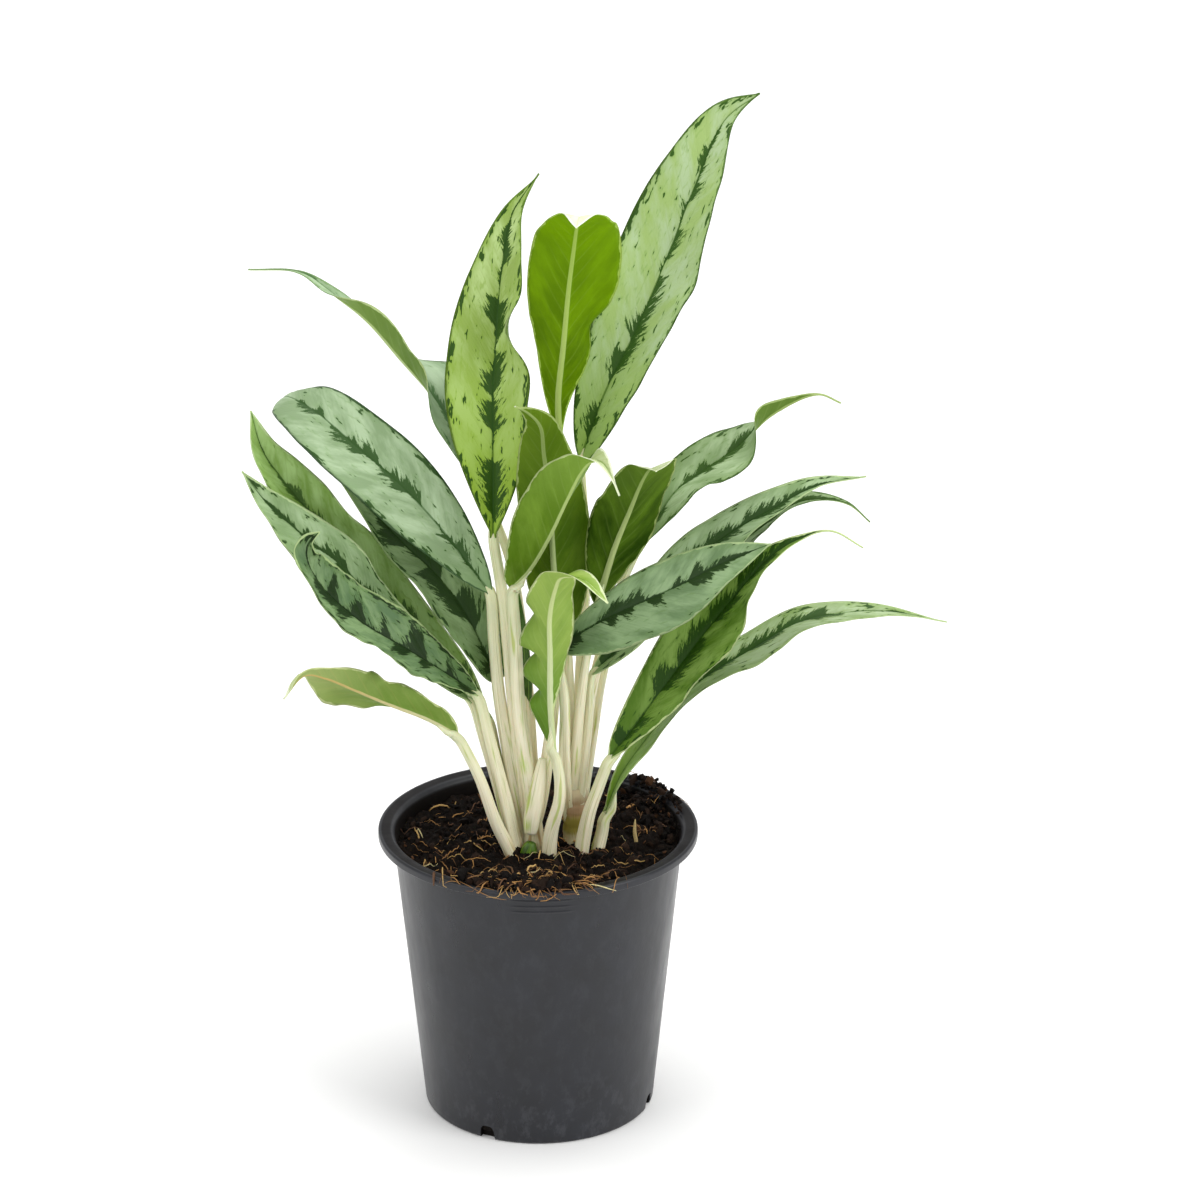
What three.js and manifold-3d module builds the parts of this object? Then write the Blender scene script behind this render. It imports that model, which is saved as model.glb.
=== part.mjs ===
// A chinese evergreen in a nursery pot: twenty leaves on their stalks, the soil and the pot.
// Millimetres, +Z up. The origin is the middle of the pot's foot, and the front faces -Y.
import * as THREE from "three";
import { mergeVertices } from "three/addons/utils/BufferGeometryUtils.js";
import Module from "manifold-3d";

const wasm = await Module();
wasm.setup();

// ---- driving dimensions -------------------------------------------------------------------
const GAP = 0.3; // air between neighbouring bodies

const POT_HEIGHT = 111.5;
const RIM_RADIUS = 60;
const FOOT_RADIUS = 43.5;
const WALL_TOP_RADIUS = 54.3; // outside of the wall, where the rim flange leaves it
const WALL_TOP_Z = 107.6;
const WALL = 1;
const FLOOR_TOP = 2.7;
const FLOOR_RECESS = 1.2; // height of the hollow ring under the floor
const POT_SEGMENTS = 48;

const DRAIN_COUNT = 6;
const DRAIN_RADIUS = 3.5;
const DRAIN_CIRCLE = 28;
const NOTCH_AZIMUTHS = [-26, 72, 154, 264]; // degrees from the front, positive to the right
const NOTCH_WIDTH = 6.4;
const NOTCH_HEIGHT = 5.6;
const NOTCH_CUT = { deep: 5, below: 2 }; // the cutting block's depth, and how far it starts under the foot

const SOIL_LEVEL = 104.5;
const SOIL_RINGS = [0.16, 0.32, 0.48, 0.62, 0.74, 0.85, 0.93, 1];
const SOIL_SEGMENTS = 44;
const FRONT_HEAP = { x: -3, spread: 32, start: 16, end: 50, height: 6 };
const BACK_HEAP = { x: 42, y: 26, spread: 18, height: 4 };

const BLADE = 0.8; // thickness of a leaf blade
const KEEL = 0.7; // how far the midrib stands out of the lower face near the stalk
const BLADE_ROWS = 14;
const SCALLOPED_ROWS = 22;
const BLADE_COLUMNS = 6;

const STALK_SIDES = 7;
const STALK_RINGS = 7;
const ROOTSTOCKS = {
  left: { x: -5.5, y: -4, across: 7.5, deep: 9 },
  right: { x: 17, y: -2, across: 8, deep: 9 },
  front: { x: 4, y: -10, across: 2.9, deep: 2.9 },
};
const ROOTSTOCK_Z = [90, 100.5];
const CANE = { x: 14, y: 3, foot: 4.8, top: 4.2, from: 92, to: 127 };
const CANE_STALKS_FROM = 112; // right-hand stalks that start higher than this grow out of the cane
const CANE_STALK_SINK = 12;
const SOIL_STALK_SINK = 9;

// Each leaf: the stalk's points from the soil up, the points of the midrib from the stalk to the
// tip, where the upper face looks along the midrib, the cut of each side, the fold at the midrib
// in degrees, the margin's wave (degrees, count, phase left, phase right), and the stalk's radius
// low and high. A cut is the half width, the place of the widest point and how slender the side
// is at the stalk and at the tip, left side first. A nip folds one margin up near one place:
// side, place, length, degrees.
const LEAVES = [
  {
    name: "tall_right",
    clump: "right",
    girth: [2.4, 1.6],
    stalk: [[14, 5, 115], [16, 9, 167], [18, 13, 213]],
    spine: [
      [16, 14, 252], [25, 16, 277], [36, 20, 299], [47, 26, 324], [59, 33, 354], [68, 38, 373],
      [81, 40, 383],
    ],
    face: [[-0.35, -0.85, 0.3], [-0.35, -0.85, 0.3], [-0.35, -0.85, 0.3], [-0.1, -0.9, 0.4]],
    cut: [[18.5, 0.52, 0.62, 0.9], [16.5, 0.48, 0.45, 1.25]],
    fold: 22, wave: [4.5, 3, 0, 1.5],
  },
  {
    name: "bright_centre",
    clump: "right",
    girth: [2.4, 1.6],
    stalk: [[13, 3, 118], [12, 4, 145], [11, 6, 176], [9, 8, 215]],
    spine: [
      [9, 8, 256], [8, 7, 277], [10, 4, 299], [12, -2, 322], [14, -10, 340], [15, -20, 350],
      [16, -33, 358], [15, -43, 357],
    ],
    face: [[0, 1, 0.1], [0, 1, 0.2], [0, 0.8, 0.6], [0, 0.4, 0.9]],
    cut: [[18, 0.6, 1.1, 0.85], [15.5, 0.6, 0.95, 0.8]],
    fold: 10, wave: [5, 3, 0, 2],
    nips: [[-1, 0.37, 0.06, 30]],
  },
  {
    name: "tall_left",
    clump: "left",
    girth: [2.7, 2],
    stalk: [[-2, -3, 103], [-6, -1, 137], [-9, 1, 162], [-11, 2, 185], [-13, 3, 205]],
    spine: [
      [-16, 4, 225], [-16, 7, 239], [-16, 11, 255], [-16, 16, 275], [-15, 22, 293],
      [-13, 29, 316], [-9, 36, 338], [1, 40, 353],
    ],
    face: [[-0.1, -0.9, 0.3], [-0.1, -0.9, 0.3], [-0.3, -0.9, 0.3], [0, -0.9, 0.4]],
    cut: [[18, 0.44, 1.15, 1.35], [16, 0.43, 1, 1.25]],
    fold: 20, wave: [6, 2.5, 0, 2.5],
    nips: [[1, 0.56, 0.08, 48]],
  },
  {
    name: "far_left",
    clump: "left",
    girth: [2.4, 1.6],
    stalk: [[-1, 2, 101], [-3, 6, 148], [-5, 8, 179], [-10, 12, 213]],
    spine: [
      [-22, 15, 244], [-30, 20, 261], [-39, 25, 274], [-50, 29, 286], [-62, 33, 299],
      [-74, 36, 308], [-87, 39, 316], [-106, 42, 316],
    ],
    face: [
      [0.3, -0.8, 0.5], [0.3, -0.7, 0.65], [0.2, 0.4, 0.9], [0, 0.5, 0.85], [0, -0.5, 0.85],
      [0, -0.3, 0.95],
    ],
    cut: [[9.5, 0.38, 0.7, 1.8], [19, 0.2, 0.6, 2.6]],
    fold: 26, wave: [7, 3.4, 1.2, 1.5],
  },
  {
    name: "broad_left",
    clump: "left",
    girth: [2.7, 2.1],
    stalk: [[-3, -2, 102], [-6, -1, 116], [-10, 0, 136], [-14, 1, 162], [-16, 2, 185]],
    spine: [
      [-17, 2, 204], [-25, 5, 214], [-37, 9, 229], [-51, 14, 243], [-66, 19, 255],
      [-81, 26, 266], [-92, 38, 268], [-97, 56, 260],
    ],
    face: [
      [0.1, -0.8, 0.55], [0.1, -0.8, 0.55], [0.1, -0.8, 0.55], [0.1, -0.75, 0.6],
      [0, -0.65, 0.7], [-0.6, 0, 0.7],
    ],
    cut: [[16, 0.5, 0.7, 0.8], [14.2, 0.5, 0.62, 0.8]],
    fold: 9, wave: [5, 2.5, 0, 1.5],
    nips: [[-1, 0.88, 0.13, -22], [1, 0.88, 0.13, -32]],
  },
  {
    name: "mid_left_back",
    clump: "left",
    girth: [2.4, 1.8],
    stalk: [[-7, -2, 102], [-10, 0, 116], [-15, 3, 137]],
    spine: [
      [-18, 4, 153], [-28, 8, 169], [-42, 12, 183], [-57, 16, 198], [-71, 20, 213],
      [-84, 24, 227], [-95, 28, 240], [-102, 31, 250], [-106, 34, 264],
    ],
    face: [[0.3, -0.7, 0.6], [0.3, -0.7, 0.6], [0.3, -0.7, 0.6]],
    cut: [[14, 0.6, 0.62, 0.9], [12.8, 0.6, 0.62, 0.9]],
    fold: 28, wave: [6, 2.5, 0, 1.5],
    nips: [[1, 0.63, 0.09, 35]],
  },
  {
    name: "mid_left_front",
    clump: "left",
    girth: [2.4, 1.8],
    stalk: [[-9, -4, 103], [-14, -2, 125], [-20, -1, 147]],
    spine: [
      [-24, -1, 162], [-36, 1, 174], [-47, 3, 185], [-61, 5, 200], [-71, 7, 212], [-84, 9, 222],
      [-99, 11, 236], [-108, 12, 248],
    ],
    face: [[0.2, -0.7, 0.7], [0.2, -0.7, 0.7], [0.2, -0.7, 0.7]],
    cut: [[14.5, 0.5, 0.7, 0.95], [10.5, 0.6, 0.9, 0.95]],
    fold: 24, wave: [6, 2.5, 0, 1.5],
    nips: [[1, 0.5, 0.2, 34]],
  },
  {
    name: "low_left",
    clump: "left",
    girth: [2.6, 2],
    stalk: [[-8, -7, 104], [-13, -5, 128], [-18, -4, 150]],
    spine: [
      [-22, -3, 166], [-33, -8, 176], [-47, -14, 188], [-62, -20, 200], [-72, -25, 211],
      [-78, -29, 220], [-82, -32, 230], [-81, -33, 237], [-77, -33, 241],
    ],
    face: [[0.2, -0.5, 0.85], [0.2, -0.5, 0.85], [0.2, -0.5, 0.85]],
    cut: [[16, 0.5, 0.62, 0.85], [13, 0.5, 0.62, 0.85]],
    fold: 22, wave: [6, 2.5, 0, 1.5],
  },
  {
    name: "bottom_left",
    clump: "left",
    girth: [2.3, 1.9],
    stalk: [[-10, -11, 104], [-16, -10, 118], [-22, -9, 136]],
    spine: [
      [-30, -8, 152], [-41, -14, 161], [-54, -20, 169], [-66, -26, 177], [-76, -32, 184],
      [-84, -37, 187], [-91, -42, 180],
    ],
    face: [
      [0, 0.8, 0.6], [0, 0.8, 0.6], [0, 0.8, 0.6], [0, 0.8, 0.6], [0, 0.8, 0.6], [0, -0.2, 0.9],
    ],
    cut: [[9.5, 0.42, 0.62, 1.2], [11, 0.58, 2.6, 1.3]],
    fold: 25, wave: [10, 3.5, 0, 1.5],
    nips: [[-1, 0.54, 0.03, 25], [1, 0.62, 0.15, -48]],
  },
  {
    name: "inner_left",
    clump: "left",
    girth: [2.4, 1.6],
    stalk: [[-4, 1, 102], [-9, 3, 129], [-13, 5, 148]],
    spine: [
      [-15, 6, 167], [-20, 9, 179], [-28, 13, 194], [-38, 17, 206], [-49, 20, 216],
      [-60, 23, 227], [-75, 28, 241],
    ],
    face: [[0.3, -0.75, 0.6], [0.3, -0.75, 0.6]],
    cut: [[13, 0.4, 0.62, 1.1], [14, 0.4, 0.62, 1.1]],
    fold: 22, wave: [5, 2.5, 0, 1.5],
  },
  {
    name: "centre_arch",
    clump: "left",
    girth: [2.8, 2.3],
    stalk: [[0, -5, 104], [-1, -4, 113], [-4, -4, 138], [-7, -4, 164], [-8, -4, 188]],
    spine: [
      [-9, -5, 209], [-2, -14, 220], [5, -22, 235], [11, -30, 251], [16, -37, 264],
      [20, -43, 271], [24, -50, 273], [27, -54, 270], [30, -56, 263],
    ],
    face: [
      [-0.6, 0.6, 0.5], [-0.6, 0.6, 0.5], [-0.5, 0.7, 0.5], [-0.4, 0.7, 0.55], [-0.35, 0.5, 0.8],
      [0, -0.8, 0.6],
    ],
    cut: [[15.8, 0.44, 0.36, 1.8], [16, 0.46, 0.62, 1.7]],
    fold: 34, wave: [6, 3, 0, 1.5],
    nips: [[-1, 0.46, 0.13, 26]],
  },
  {
    name: "small_front",
    clump: "front",
    girth: [2.7, 1.9],
    stalk: [[4, -10, 104], [5, -10, 114], [8, -10, 126], [8, -9, 136]],
    spine: [
      [6, -9, 146], [5, -14, 166], [5, -20, 188], [5, -26, 205], [7, -32, 218], [10, -39, 226],
      [18, -46, 227], [26, -52, 221],
    ],
    face: [[0.6, 0.8, 0.1], [0.1, 1, 0.1], [0, 0.6, 0.8], [0.2, -0.6, 0.75]],
    cut: [[9.5, 0.56, 2.2, 0.8], [12.5, 0.32, 0.62, 0.8]],
    fold: 22, wave: [6, 3.5, 0, 1.5],
    nips: [[1, 0.2, 0.035, 40], [1, 0.35, 0.035, 42], [1, 0.51, 0.05, 38]],
  },
  {
    name: "centre_dark",
    clump: "left",
    girth: [2.6, 2],
    stalk: [[-3, -4, 107], [1, -3, 123], [4, -1, 143], [6, 2, 161]],
    spine: [
      [7, 2, 185], [7, 0, 202], [6, -3, 221], [5, -7, 244], [3, -10, 262], [2, -15, 274],
      [-2, -20, 281], [-7, -26, 286],
    ],
    face: [[0.2, 1, 0.2], [0.2, 1, 0.2], [0, 0.9, 0.4], [-0.2, 0.7, 0.7]],
    cut: [[14.5, 0.4, 0.62, 1], [14.5, 0.4, 0.62, 1]],
    fold: 22, wave: [5, 2.5, 0, 1.5],
  },
  {
    name: "centre_right_dark",
    clump: "right",
    girth: [2.2, 1.5],
    stalk: [[13, 3, 118], [15, 0, 150], [18, -4, 180]],
    spine: [
      [22, -3, 201], [26, -5, 216], [29, -8, 227], [34, -13, 242], [38, -20, 255],
      [41, -28, 263], [43, -44, 268],
    ],
    face: [[-0.1, 1, 0.2], [-0.1, 0.9, 0.3], [-0.2, 0.5, 0.8], [0, 0.3, 0.9]],
    cut: [[15, 0.55, 0.7, 0.8], [13, 0.5, 0.62, 0.85]],
    fold: 14, wave: [5, 2.5, 0, 1.5],
  },
  {
    name: "upper_right",
    clump: "right",
    girth: [2.2, 1.5],
    stalk: [[15, 4, 116], [17, 6, 140], [21, 8, 167], [29, 8, 199]],
    spine: [
      [38, 8, 221], [50, 12, 239], [60, 16, 246], [74, 20, 255], [84, 24, 264], [95, 27, 270],
      [104, 29, 272], [112, 31, 268],
    ],
    face: [
      [-0.4, -0.6, 0.72], [-0.4, -0.6, 0.72], [-0.4, -0.7, 0.65], [0, 0.8, 0.55], [0, 0.9, 0.5],
    ],
    cut: [[10.5, 0.36, 0.62, 2.6], [12.3, 0.4, 0.75, 2.3]],
    fold: 22, wave: [8, 3, 0, 1.5],
  },
  {
    name: "middle_right",
    clump: "right",
    girth: [2.2, 1.5],
    stalk: [[15, 2, 116], [17, 2, 135], [19, 1, 154]],
    spine: [
      [20, 0, 173], [30, 1, 183], [42, 3, 199], [56, 6, 214], [71, 9, 225], [87, 11, 234],
      [103, 13, 242], [121, 15, 245],
    ],
    face: [[-0.4, -0.6, 0.8], [-0.3, -0.6, 0.8], [-0.2, -0.5, 0.95]],
    cut: [[9.5, 0.5, 0.62, 1.1], [14, 0.42, 0.62, 2.6]],
    fold: 22, wave: [8, 3, 0, 1.5],
  },
  {
    name: "middle_right_back",
    clump: "right",
    girth: [2, 1.3],
    stalk: [[16, 4, 114], [18, 6, 127], [21, 9, 146], [24, 12, 165]],
    spine: [
      [28, 14, 181], [45, 15, 198], [64, 16, 212], [80, 17, 222], [93, 18, 232], [104, 18, 235],
      [115, 18, 233], [123, 18, 226],
    ],
    face: [[-0.3, -0.5, 0.8], [-0.2, -0.2, 0.95]],
    cut: [[10, 0.4, 0.62, 1.6], [10, 0.4, 0.62, 2.2]],
    fold: 22, wave: [5, 3, 0, 1.5],
  },
  {
    name: "low_right",
    clump: "right",
    girth: [2.7, 2.1],
    stalk: [[16, -8, 102], [19, -7, 119], [23, -6, 131]],
    spine: [
      [27, -6, 142], [37, -6, 156], [50, -4, 174], [62, -2, 190], [75, 1, 206], [85, 3, 217],
      [96, 5, 224], [108, 6, 227], [120, 7, 220],
    ],
    face: [[-0.55, -0.7, 0.55], [-0.4, -0.7, 0.6], [-0.3, -0.3, 0.9], [0, -0.2, 1]],
    cut: [[13, 0.42, 0.7, 3], [18, 0.46, 0.7, 3.4]],
    fold: 20, wave: [6, 3, 0, 1.5],
  },
  {
    name: "front_silver",
    clump: "right",
    girth: [2.4, 1.7],
    stalk: [[11, 1, 119], [10, -2, 139], [10, -6, 165]],
    spine: [
      [7, -7, 186], [20, -11, 196], [33, -19, 206], [50, -26, 217], [67, -33, 229],
      [77, -37, 235], [84, -40, 239],
    ],
    face: [[-0.2, -0.85, 0.6], [-0.2, -0.85, 0.6], [-0.2, -0.85, 0.6]],
    cut: [[11, 0.52, 0.7, 0.9], [16, 0.45, 0.62, 0.95]],
    fold: 12, wave: [4, 2.5, 0, 1.5],
  },
  {
    name: "lowest_right",
    clump: "right",
    girth: [2.7, 2.3],
    stalk: [[22, -4, 101], [24, -2, 110]],
    spine: [
      [25, -1, 117], [31, 0, 132], [40, 2, 145], [51, 5, 158], [64, 9, 169], [79, 13, 177],
      [96, 17, 186], [113, 20, 189], [131, 22, 189], [153, 24, 184],
    ],
    face: [[-0.6, -0.4, 0.7], [-0.4, -0.3, 0.85], [-0.1, -0.35, 0.95], [0, -0.25, 1]],
    cut: [[7.5, 0.5, 0.62, 1.3], [13.6, 0.5, 0.62, 1.3]],
    fold: 20, wave: [6, 3, 0, 1.5],
  },
];

const COLOURS = {
  pot: 0x3c3e43,
  soil: 0x2a1d15,
  stalk: 0xdcd8b4,
  leaf: 0x7fa07c,
};

// ---- helpers ------------------------------------------------------------------------------

// A solid from flat arrays of coordinates and vertex numbers, turned to face outwards.
function solidFromArrays(coordinates, triangles) {
  const build = (triVerts) =>
    new wasm.Manifold(
      new wasm.Mesh({
        numProp: 3,
        vertProperties: new Float32Array(coordinates),
        triVerts: new Uint32Array(triVerts),
      }),
    );
  const made = build(triangles);
  if (made.volume() > 0) return made;
  const turned = triangles.slice();
  for (let i = 0; i < turned.length; i += 3) {
    [turned[i + 1], turned[i + 2]] = [turned[i + 2], turned[i + 1]];
  }
  return build(turned);
}

// A solid from a plain geometry: only its positions are kept, and collapsed faces go.
function solidFromGeometry(geometry) {
  const bare = new THREE.BufferGeometry();
  bare.setAttribute("position", geometry.getAttribute("position"));
  bare.setIndex(geometry.getIndex());
  const merged = mergeVertices(bare, 1e-4);
  const index = Array.from(merged.getIndex().array);
  const kept = [];
  for (let i = 0; i < index.length; i += 3) {
    const [a, b, c] = index.slice(i, i + 3);
    if (a !== b && b !== c && a !== c) kept.push(a, b, c);
  }
  return solidFromArrays(Array.from(merged.getAttribute("position").array), kept);
}

function meshFromSolid(name, solid, colour) {
  const data = solid.getMesh();
  const geometry = new THREE.BufferGeometry();
  const positions = new Float32Array(data.vertProperties);
  geometry.setAttribute("position", new THREE.BufferAttribute(positions, 3));
  geometry.setIndex(new THREE.BufferAttribute(new Uint32Array(data.triVerts), 1));
  geometry.computeVertexNormals();
  const material = new THREE.MeshStandardMaterial({ color: colour, roughness: 0.6 });
  const mesh = new THREE.Mesh(geometry, material);
  mesh.name = name;
  return mesh;
}

const vectors = (rows) => rows.map((row) => new THREE.Vector3(...row));

// A smooth curve through the rows, passing each in turn.
function curveThrough(rows) {
  const curve = new THREE.CatmullRomCurve3(vectors(rows), false, "catmullrom", 0.5);
  curve.arcLengthDivisions = 400;
  return curve;
}

const radians = (degrees) => (degrees * Math.PI) / 180;

// ---- leaf blades --------------------------------------------------------------------------

// The half width at u along the blade: a sine with its top at the widest point, whose power
// goes from one end's slenderness to the other's. It keeps a little width at both ends.
function halfWidth([most, widest, atStalk, atTip], u) {
  const s = Math.min(1, u ** (Math.log(0.5) / Math.log(widest)));
  const power = atStalk + (atTip - atStalk) * u;
  const least = 0.9 * (1 - u) + 0.35;
  return Math.max(most * Math.max(0, Math.sin(Math.PI * s)) ** power, least);
}

// The angle of a half blade above the flat, at u along it and at a share v of the half width.
function foldAngle(leaf, u, v) {
  const [swing, count, phaseLeft, phaseRight] = leaf.wave;
  const phase = v < 0 ? phaseLeft : phaseRight;
  const share = Math.abs(v);
  const ends = Math.sin(Math.PI * u) ** 0.5;
  let angle = leaf.fold;
  angle += share * swing * Math.sin(2 * Math.PI * count * u + phase) * ends;
  for (const [side, place, length, degrees] of leaf.nips ?? []) {
    const near = Math.exp(-(((u - place) / length) ** 2));
    if (v * side > 0) angle += share * degrees * near;
  }
  return radians(angle);
}

// The middle surface of a blade: rows of points from the stalk to the tip, each from the left
// margin to the right one.
function bladeRows(leaf, rowCount) {
  const midrib = curveThrough(leaf.spine);
  const looks = curveThrough(leaf.face);
  const rows = [];
  for (let i = 0; i <= rowCount; i++) {
    const u = i / rowCount;
    const along = midrib.getTangentAt(u);
    const centre = midrib.getPointAt(u);
    const up = looks.getPoint(u).projectOnPlane(along).normalize();
    const across = new THREE.Vector3().crossVectors(along, up);
    const row = [];
    for (let j = 0; j <= BLADE_COLUMNS; j++) {
      const v = (2 * j) / BLADE_COLUMNS - 1;
      const half = halfWidth(leaf.cut[v < 0 ? 0 : 1], u);
      const angle = foldAngle(leaf, u, v);
      const point = centre.clone();
      point.addScaledVector(across, half * v * Math.cos(angle));
      point.addScaledVector(up, half * Math.abs(v) * Math.sin(angle));
      row.push(point);
    }
    rows.push(row);
  }
  return rows;
}

// The direction out of the upper face at one point of the rows.
function upperNormal(rows, i, j) {
  const before = rows[Math.max(i - 1, 0)][j];
  const after = rows[Math.min(i + 1, rows.length - 1)][j];
  const left = rows[i][Math.max(j - 1, 0)];
  const right = rows[i][Math.min(j + 1, BLADE_COLUMNS)];
  const along = new THREE.Vector3().subVectors(after, before);
  const across = new THREE.Vector3().subVectors(right, left);
  return across.cross(along).normalize();
}

// A blade with thickness: both faces share the rows and are split into triangles alike, and a
// strip runs round the edge. The lower face stands out along the midrib.
function bladeSolid(leaf) {
  const rowCount = leaf.nips && leaf.nips.length > 1 ? SCALLOPED_ROWS : BLADE_ROWS;
  const rows = bladeRows(leaf, rowCount);
  const width = BLADE_COLUMNS + 1;
  const upper = [];
  const lower = [];
  rows.forEach((row, i) =>
    row.forEach((point, j) => {
      const out = upperNormal(rows, i, j);
      const isMidrib = 2 * j === BLADE_COLUMNS;
      const keel = isMidrib ? KEEL * (1 - i / rowCount) : 0;
      upper.push(...point.clone().addScaledVector(out, BLADE / 2).toArray());
      lower.push(...point.clone().addScaledVector(out, -BLADE / 2 - keel).toArray());
    }),
  );
  const count = rows.length * width;
  const triangles = [];
  for (let i = 0; i < rowCount; i++) {
    for (let j = 0; j < BLADE_COLUMNS; j++) {
      const a = i * width + j;
      const b = a + 1;
      const c = a + width;
      const d = c + 1;
      triangles.push(a, b, d, a, d, c);
      triangles.push(a + count, d + count, b + count, a + count, c + count, d + count);
    }
  }
  const edge = [];
  for (let j = 0; j < BLADE_COLUMNS; j++) edge.push(j);
  for (let i = 0; i < rowCount; i++) edge.push(i * width + BLADE_COLUMNS);
  for (let j = BLADE_COLUMNS; j > 0; j--) edge.push(rowCount * width + j);
  for (let i = rowCount; i > 0; i--) edge.push(i * width);
  edge.forEach((a, k) => {
    const b = edge[(k + 1) % edge.length];
    triangles.push(b, a, a + count, b, a + count, b + count);
  });
  return solidFromArrays(upper.concat(lower), triangles);
}

// ---- stalks -------------------------------------------------------------------------------

// A round stalk along a curve, its radius easing from low to high, with a rounded end at the
// blade. `grown` widens it, for the hole that it stands in.
function stalkSolid(points, [low, high], grown) {
  const curve = curveThrough(points);
  const stops = [];
  for (let i = 0; i <= STALK_RINGS; i++) stops.push([(0.985 * i) / STALK_RINGS, 1]);
  stops.push([1, 0.45]);
  const coordinates = [];
  for (const [u, share] of stops) {
    const along = curve.getTangentAt(u);
    const centre = curve.getPointAt(u);
    const side = new THREE.Vector3(0, -1, 0.2).cross(along).normalize();
    const other = new THREE.Vector3().crossVectors(along, side);
    const radius = (low + (high - low) * u) * share + grown;
    for (let k = 0; k < STALK_SIDES; k++) {
      const turn = (2 * Math.PI * k) / STALK_SIDES;
      const point = centre.clone().addScaledVector(side, radius * Math.cos(turn));
      coordinates.push(...point.addScaledVector(other, radius * Math.sin(turn)).toArray());
    }
  }
  const triangles = [];
  const last = (stops.length - 1) * STALK_SIDES;
  for (let i = 0; i < stops.length - 1; i++) {
    for (let k = 0; k < STALK_SIDES; k++) {
      const a = i * STALK_SIDES + k;
      const b = i * STALK_SIDES + ((k + 1) % STALK_SIDES);
      triangles.push(a, b, b + STALK_SIDES, a, b + STALK_SIDES, a + STALK_SIDES);
    }
  }
  for (let k = 1; k < STALK_SIDES - 1; k++) {
    triangles.push(0, k + 1, k);
    triangles.push(last, last + k, last + k + 1);
  }
  return solidFromArrays(coordinates, triangles);
}

// The whole path of a leaf's stalk: from inside its rootstock to just short of the blade.
function stalkPath(leaf) {
  const first = leaf.stalk[0];
  const onCane = leaf.clump === "right" && first[2] > CANE_STALKS_FROM;
  const start = onCane
    ? [CANE.x, CANE.y, first[2] - CANE_STALK_SINK]
    : [first[0], first[1], first[2] - SOIL_STALK_SINK];
  const base = new THREE.Vector3(...leaf.spine[0]);
  const away = curveThrough(leaf.spine).getTangentAt(0);
  base.addScaledVector(away, -2 * GAP - BLADE / 2);
  return [start, ...leaf.stalk, base.toArray()];
}

// An upright round body with an elliptical outline.
function ellipticPost({ x, y, across, deep }, grown) {
  const [from, to] = ROOTSTOCK_Z;
  const height = to - from + 2 * grown;
  const post = new THREE.CylinderGeometry(1, 1, height, 20);
  post.rotateX(Math.PI / 2);
  post.scale(across + grown, deep + grown, 1);
  post.translate(x, y, (from + to) / 2);
  return solidFromGeometry(post);
}

function caneSolid(grown) {
  const cane = new THREE.CylinderGeometry(
    CANE.top + grown,
    CANE.foot + grown,
    CANE.to - CANE.from,
    12,
  );
  cane.rotateX(Math.PI / 2);
  cane.translate(CANE.x, CANE.y, (CANE.from + CANE.to) / 2);
  return solidFromGeometry(cane);
}

// One clump: every stalk that rises from the same rootstock, as one body.
function clumpSolid(clump, grown) {
  let body = ellipticPost(ROOTSTOCKS[clump], grown);
  if (clump === "right") body = body.add(caneSolid(grown));
  for (const leaf of LEAVES) {
    if (leaf.clump !== clump) continue;
    body = body.add(stalkSolid(stalkPath(leaf), leaf.girth, grown));
  }
  return body;
}

// ---- pot ----------------------------------------------------------------------------------

// Outside radius of the pot's wall at a height.
function wallRadius(z) {
  return FOOT_RADIUS + ((WALL_TOP_RADIUS - FOOT_RADIUS) * z) / WALL_TOP_Z;
}

function potSolid() {
  const profile = [
    [0, 0],
    [18, 0],
    [19, FLOOR_RECESS],
    [37.5, FLOOR_RECESS],
    [38.5, 0],
    [FOOT_RADIUS - 0.8, 0],
    [FOOT_RADIUS, 0.8],
    [WALL_TOP_RADIUS, WALL_TOP_Z],
    [RIM_RADIUS - 1.3, 109.9],
    [RIM_RADIUS - 0.9, 108.6],
    [RIM_RADIUS, 108.8],
    [RIM_RADIUS, POT_HEIGHT - 0.6],
    [RIM_RADIUS - 0.6, POT_HEIGHT],
    [WALL_TOP_RADIUS + 0.5, POT_HEIGHT - 0.2],
    [WALL_TOP_RADIUS - WALL, WALL_TOP_Z],
    [wallRadius(FLOOR_TOP) - WALL, FLOOR_TOP],
    [0, FLOOR_TOP],
  ];
  const points = profile.map(([r, z]) => new THREE.Vector2(r, z));
  const turned = new THREE.LatheGeometry(points, POT_SEGMENTS);
  turned.rotateX(Math.PI / 2);
  let pot = solidFromGeometry(turned);
  for (const azimuth of NOTCH_AZIMUTHS) {
    const notch = new THREE.BoxGeometry(NOTCH_WIDTH, NOTCH_CUT.deep, NOTCH_HEIGHT + NOTCH_CUT.below);
    notch.translate(0, -wallRadius(NOTCH_HEIGHT / 2), (NOTCH_HEIGHT - NOTCH_CUT.below) / 2);
    notch.rotateZ(radians(azimuth));
    pot = pot.subtract(solidFromGeometry(notch));
  }
  for (let k = 0; k < DRAIN_COUNT; k++) {
    const hole = new THREE.CylinderGeometry(DRAIN_RADIUS, DRAIN_RADIUS, 6, 14);
    hole.rotateX(Math.PI / 2);
    hole.translate(0, -DRAIN_CIRCLE, FLOOR_TOP);
    hole.rotateZ((2 * Math.PI * (k + 0.5)) / DRAIN_COUNT);
    pot = pot.subtract(solidFromGeometry(hole));
  }
  return pot;
}

// ---- soil ---------------------------------------------------------------------------------

const eased = (value) => {
  const t = Math.min(1, Math.max(0, value));
  return t * t * (3 - 2 * t);
};

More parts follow.
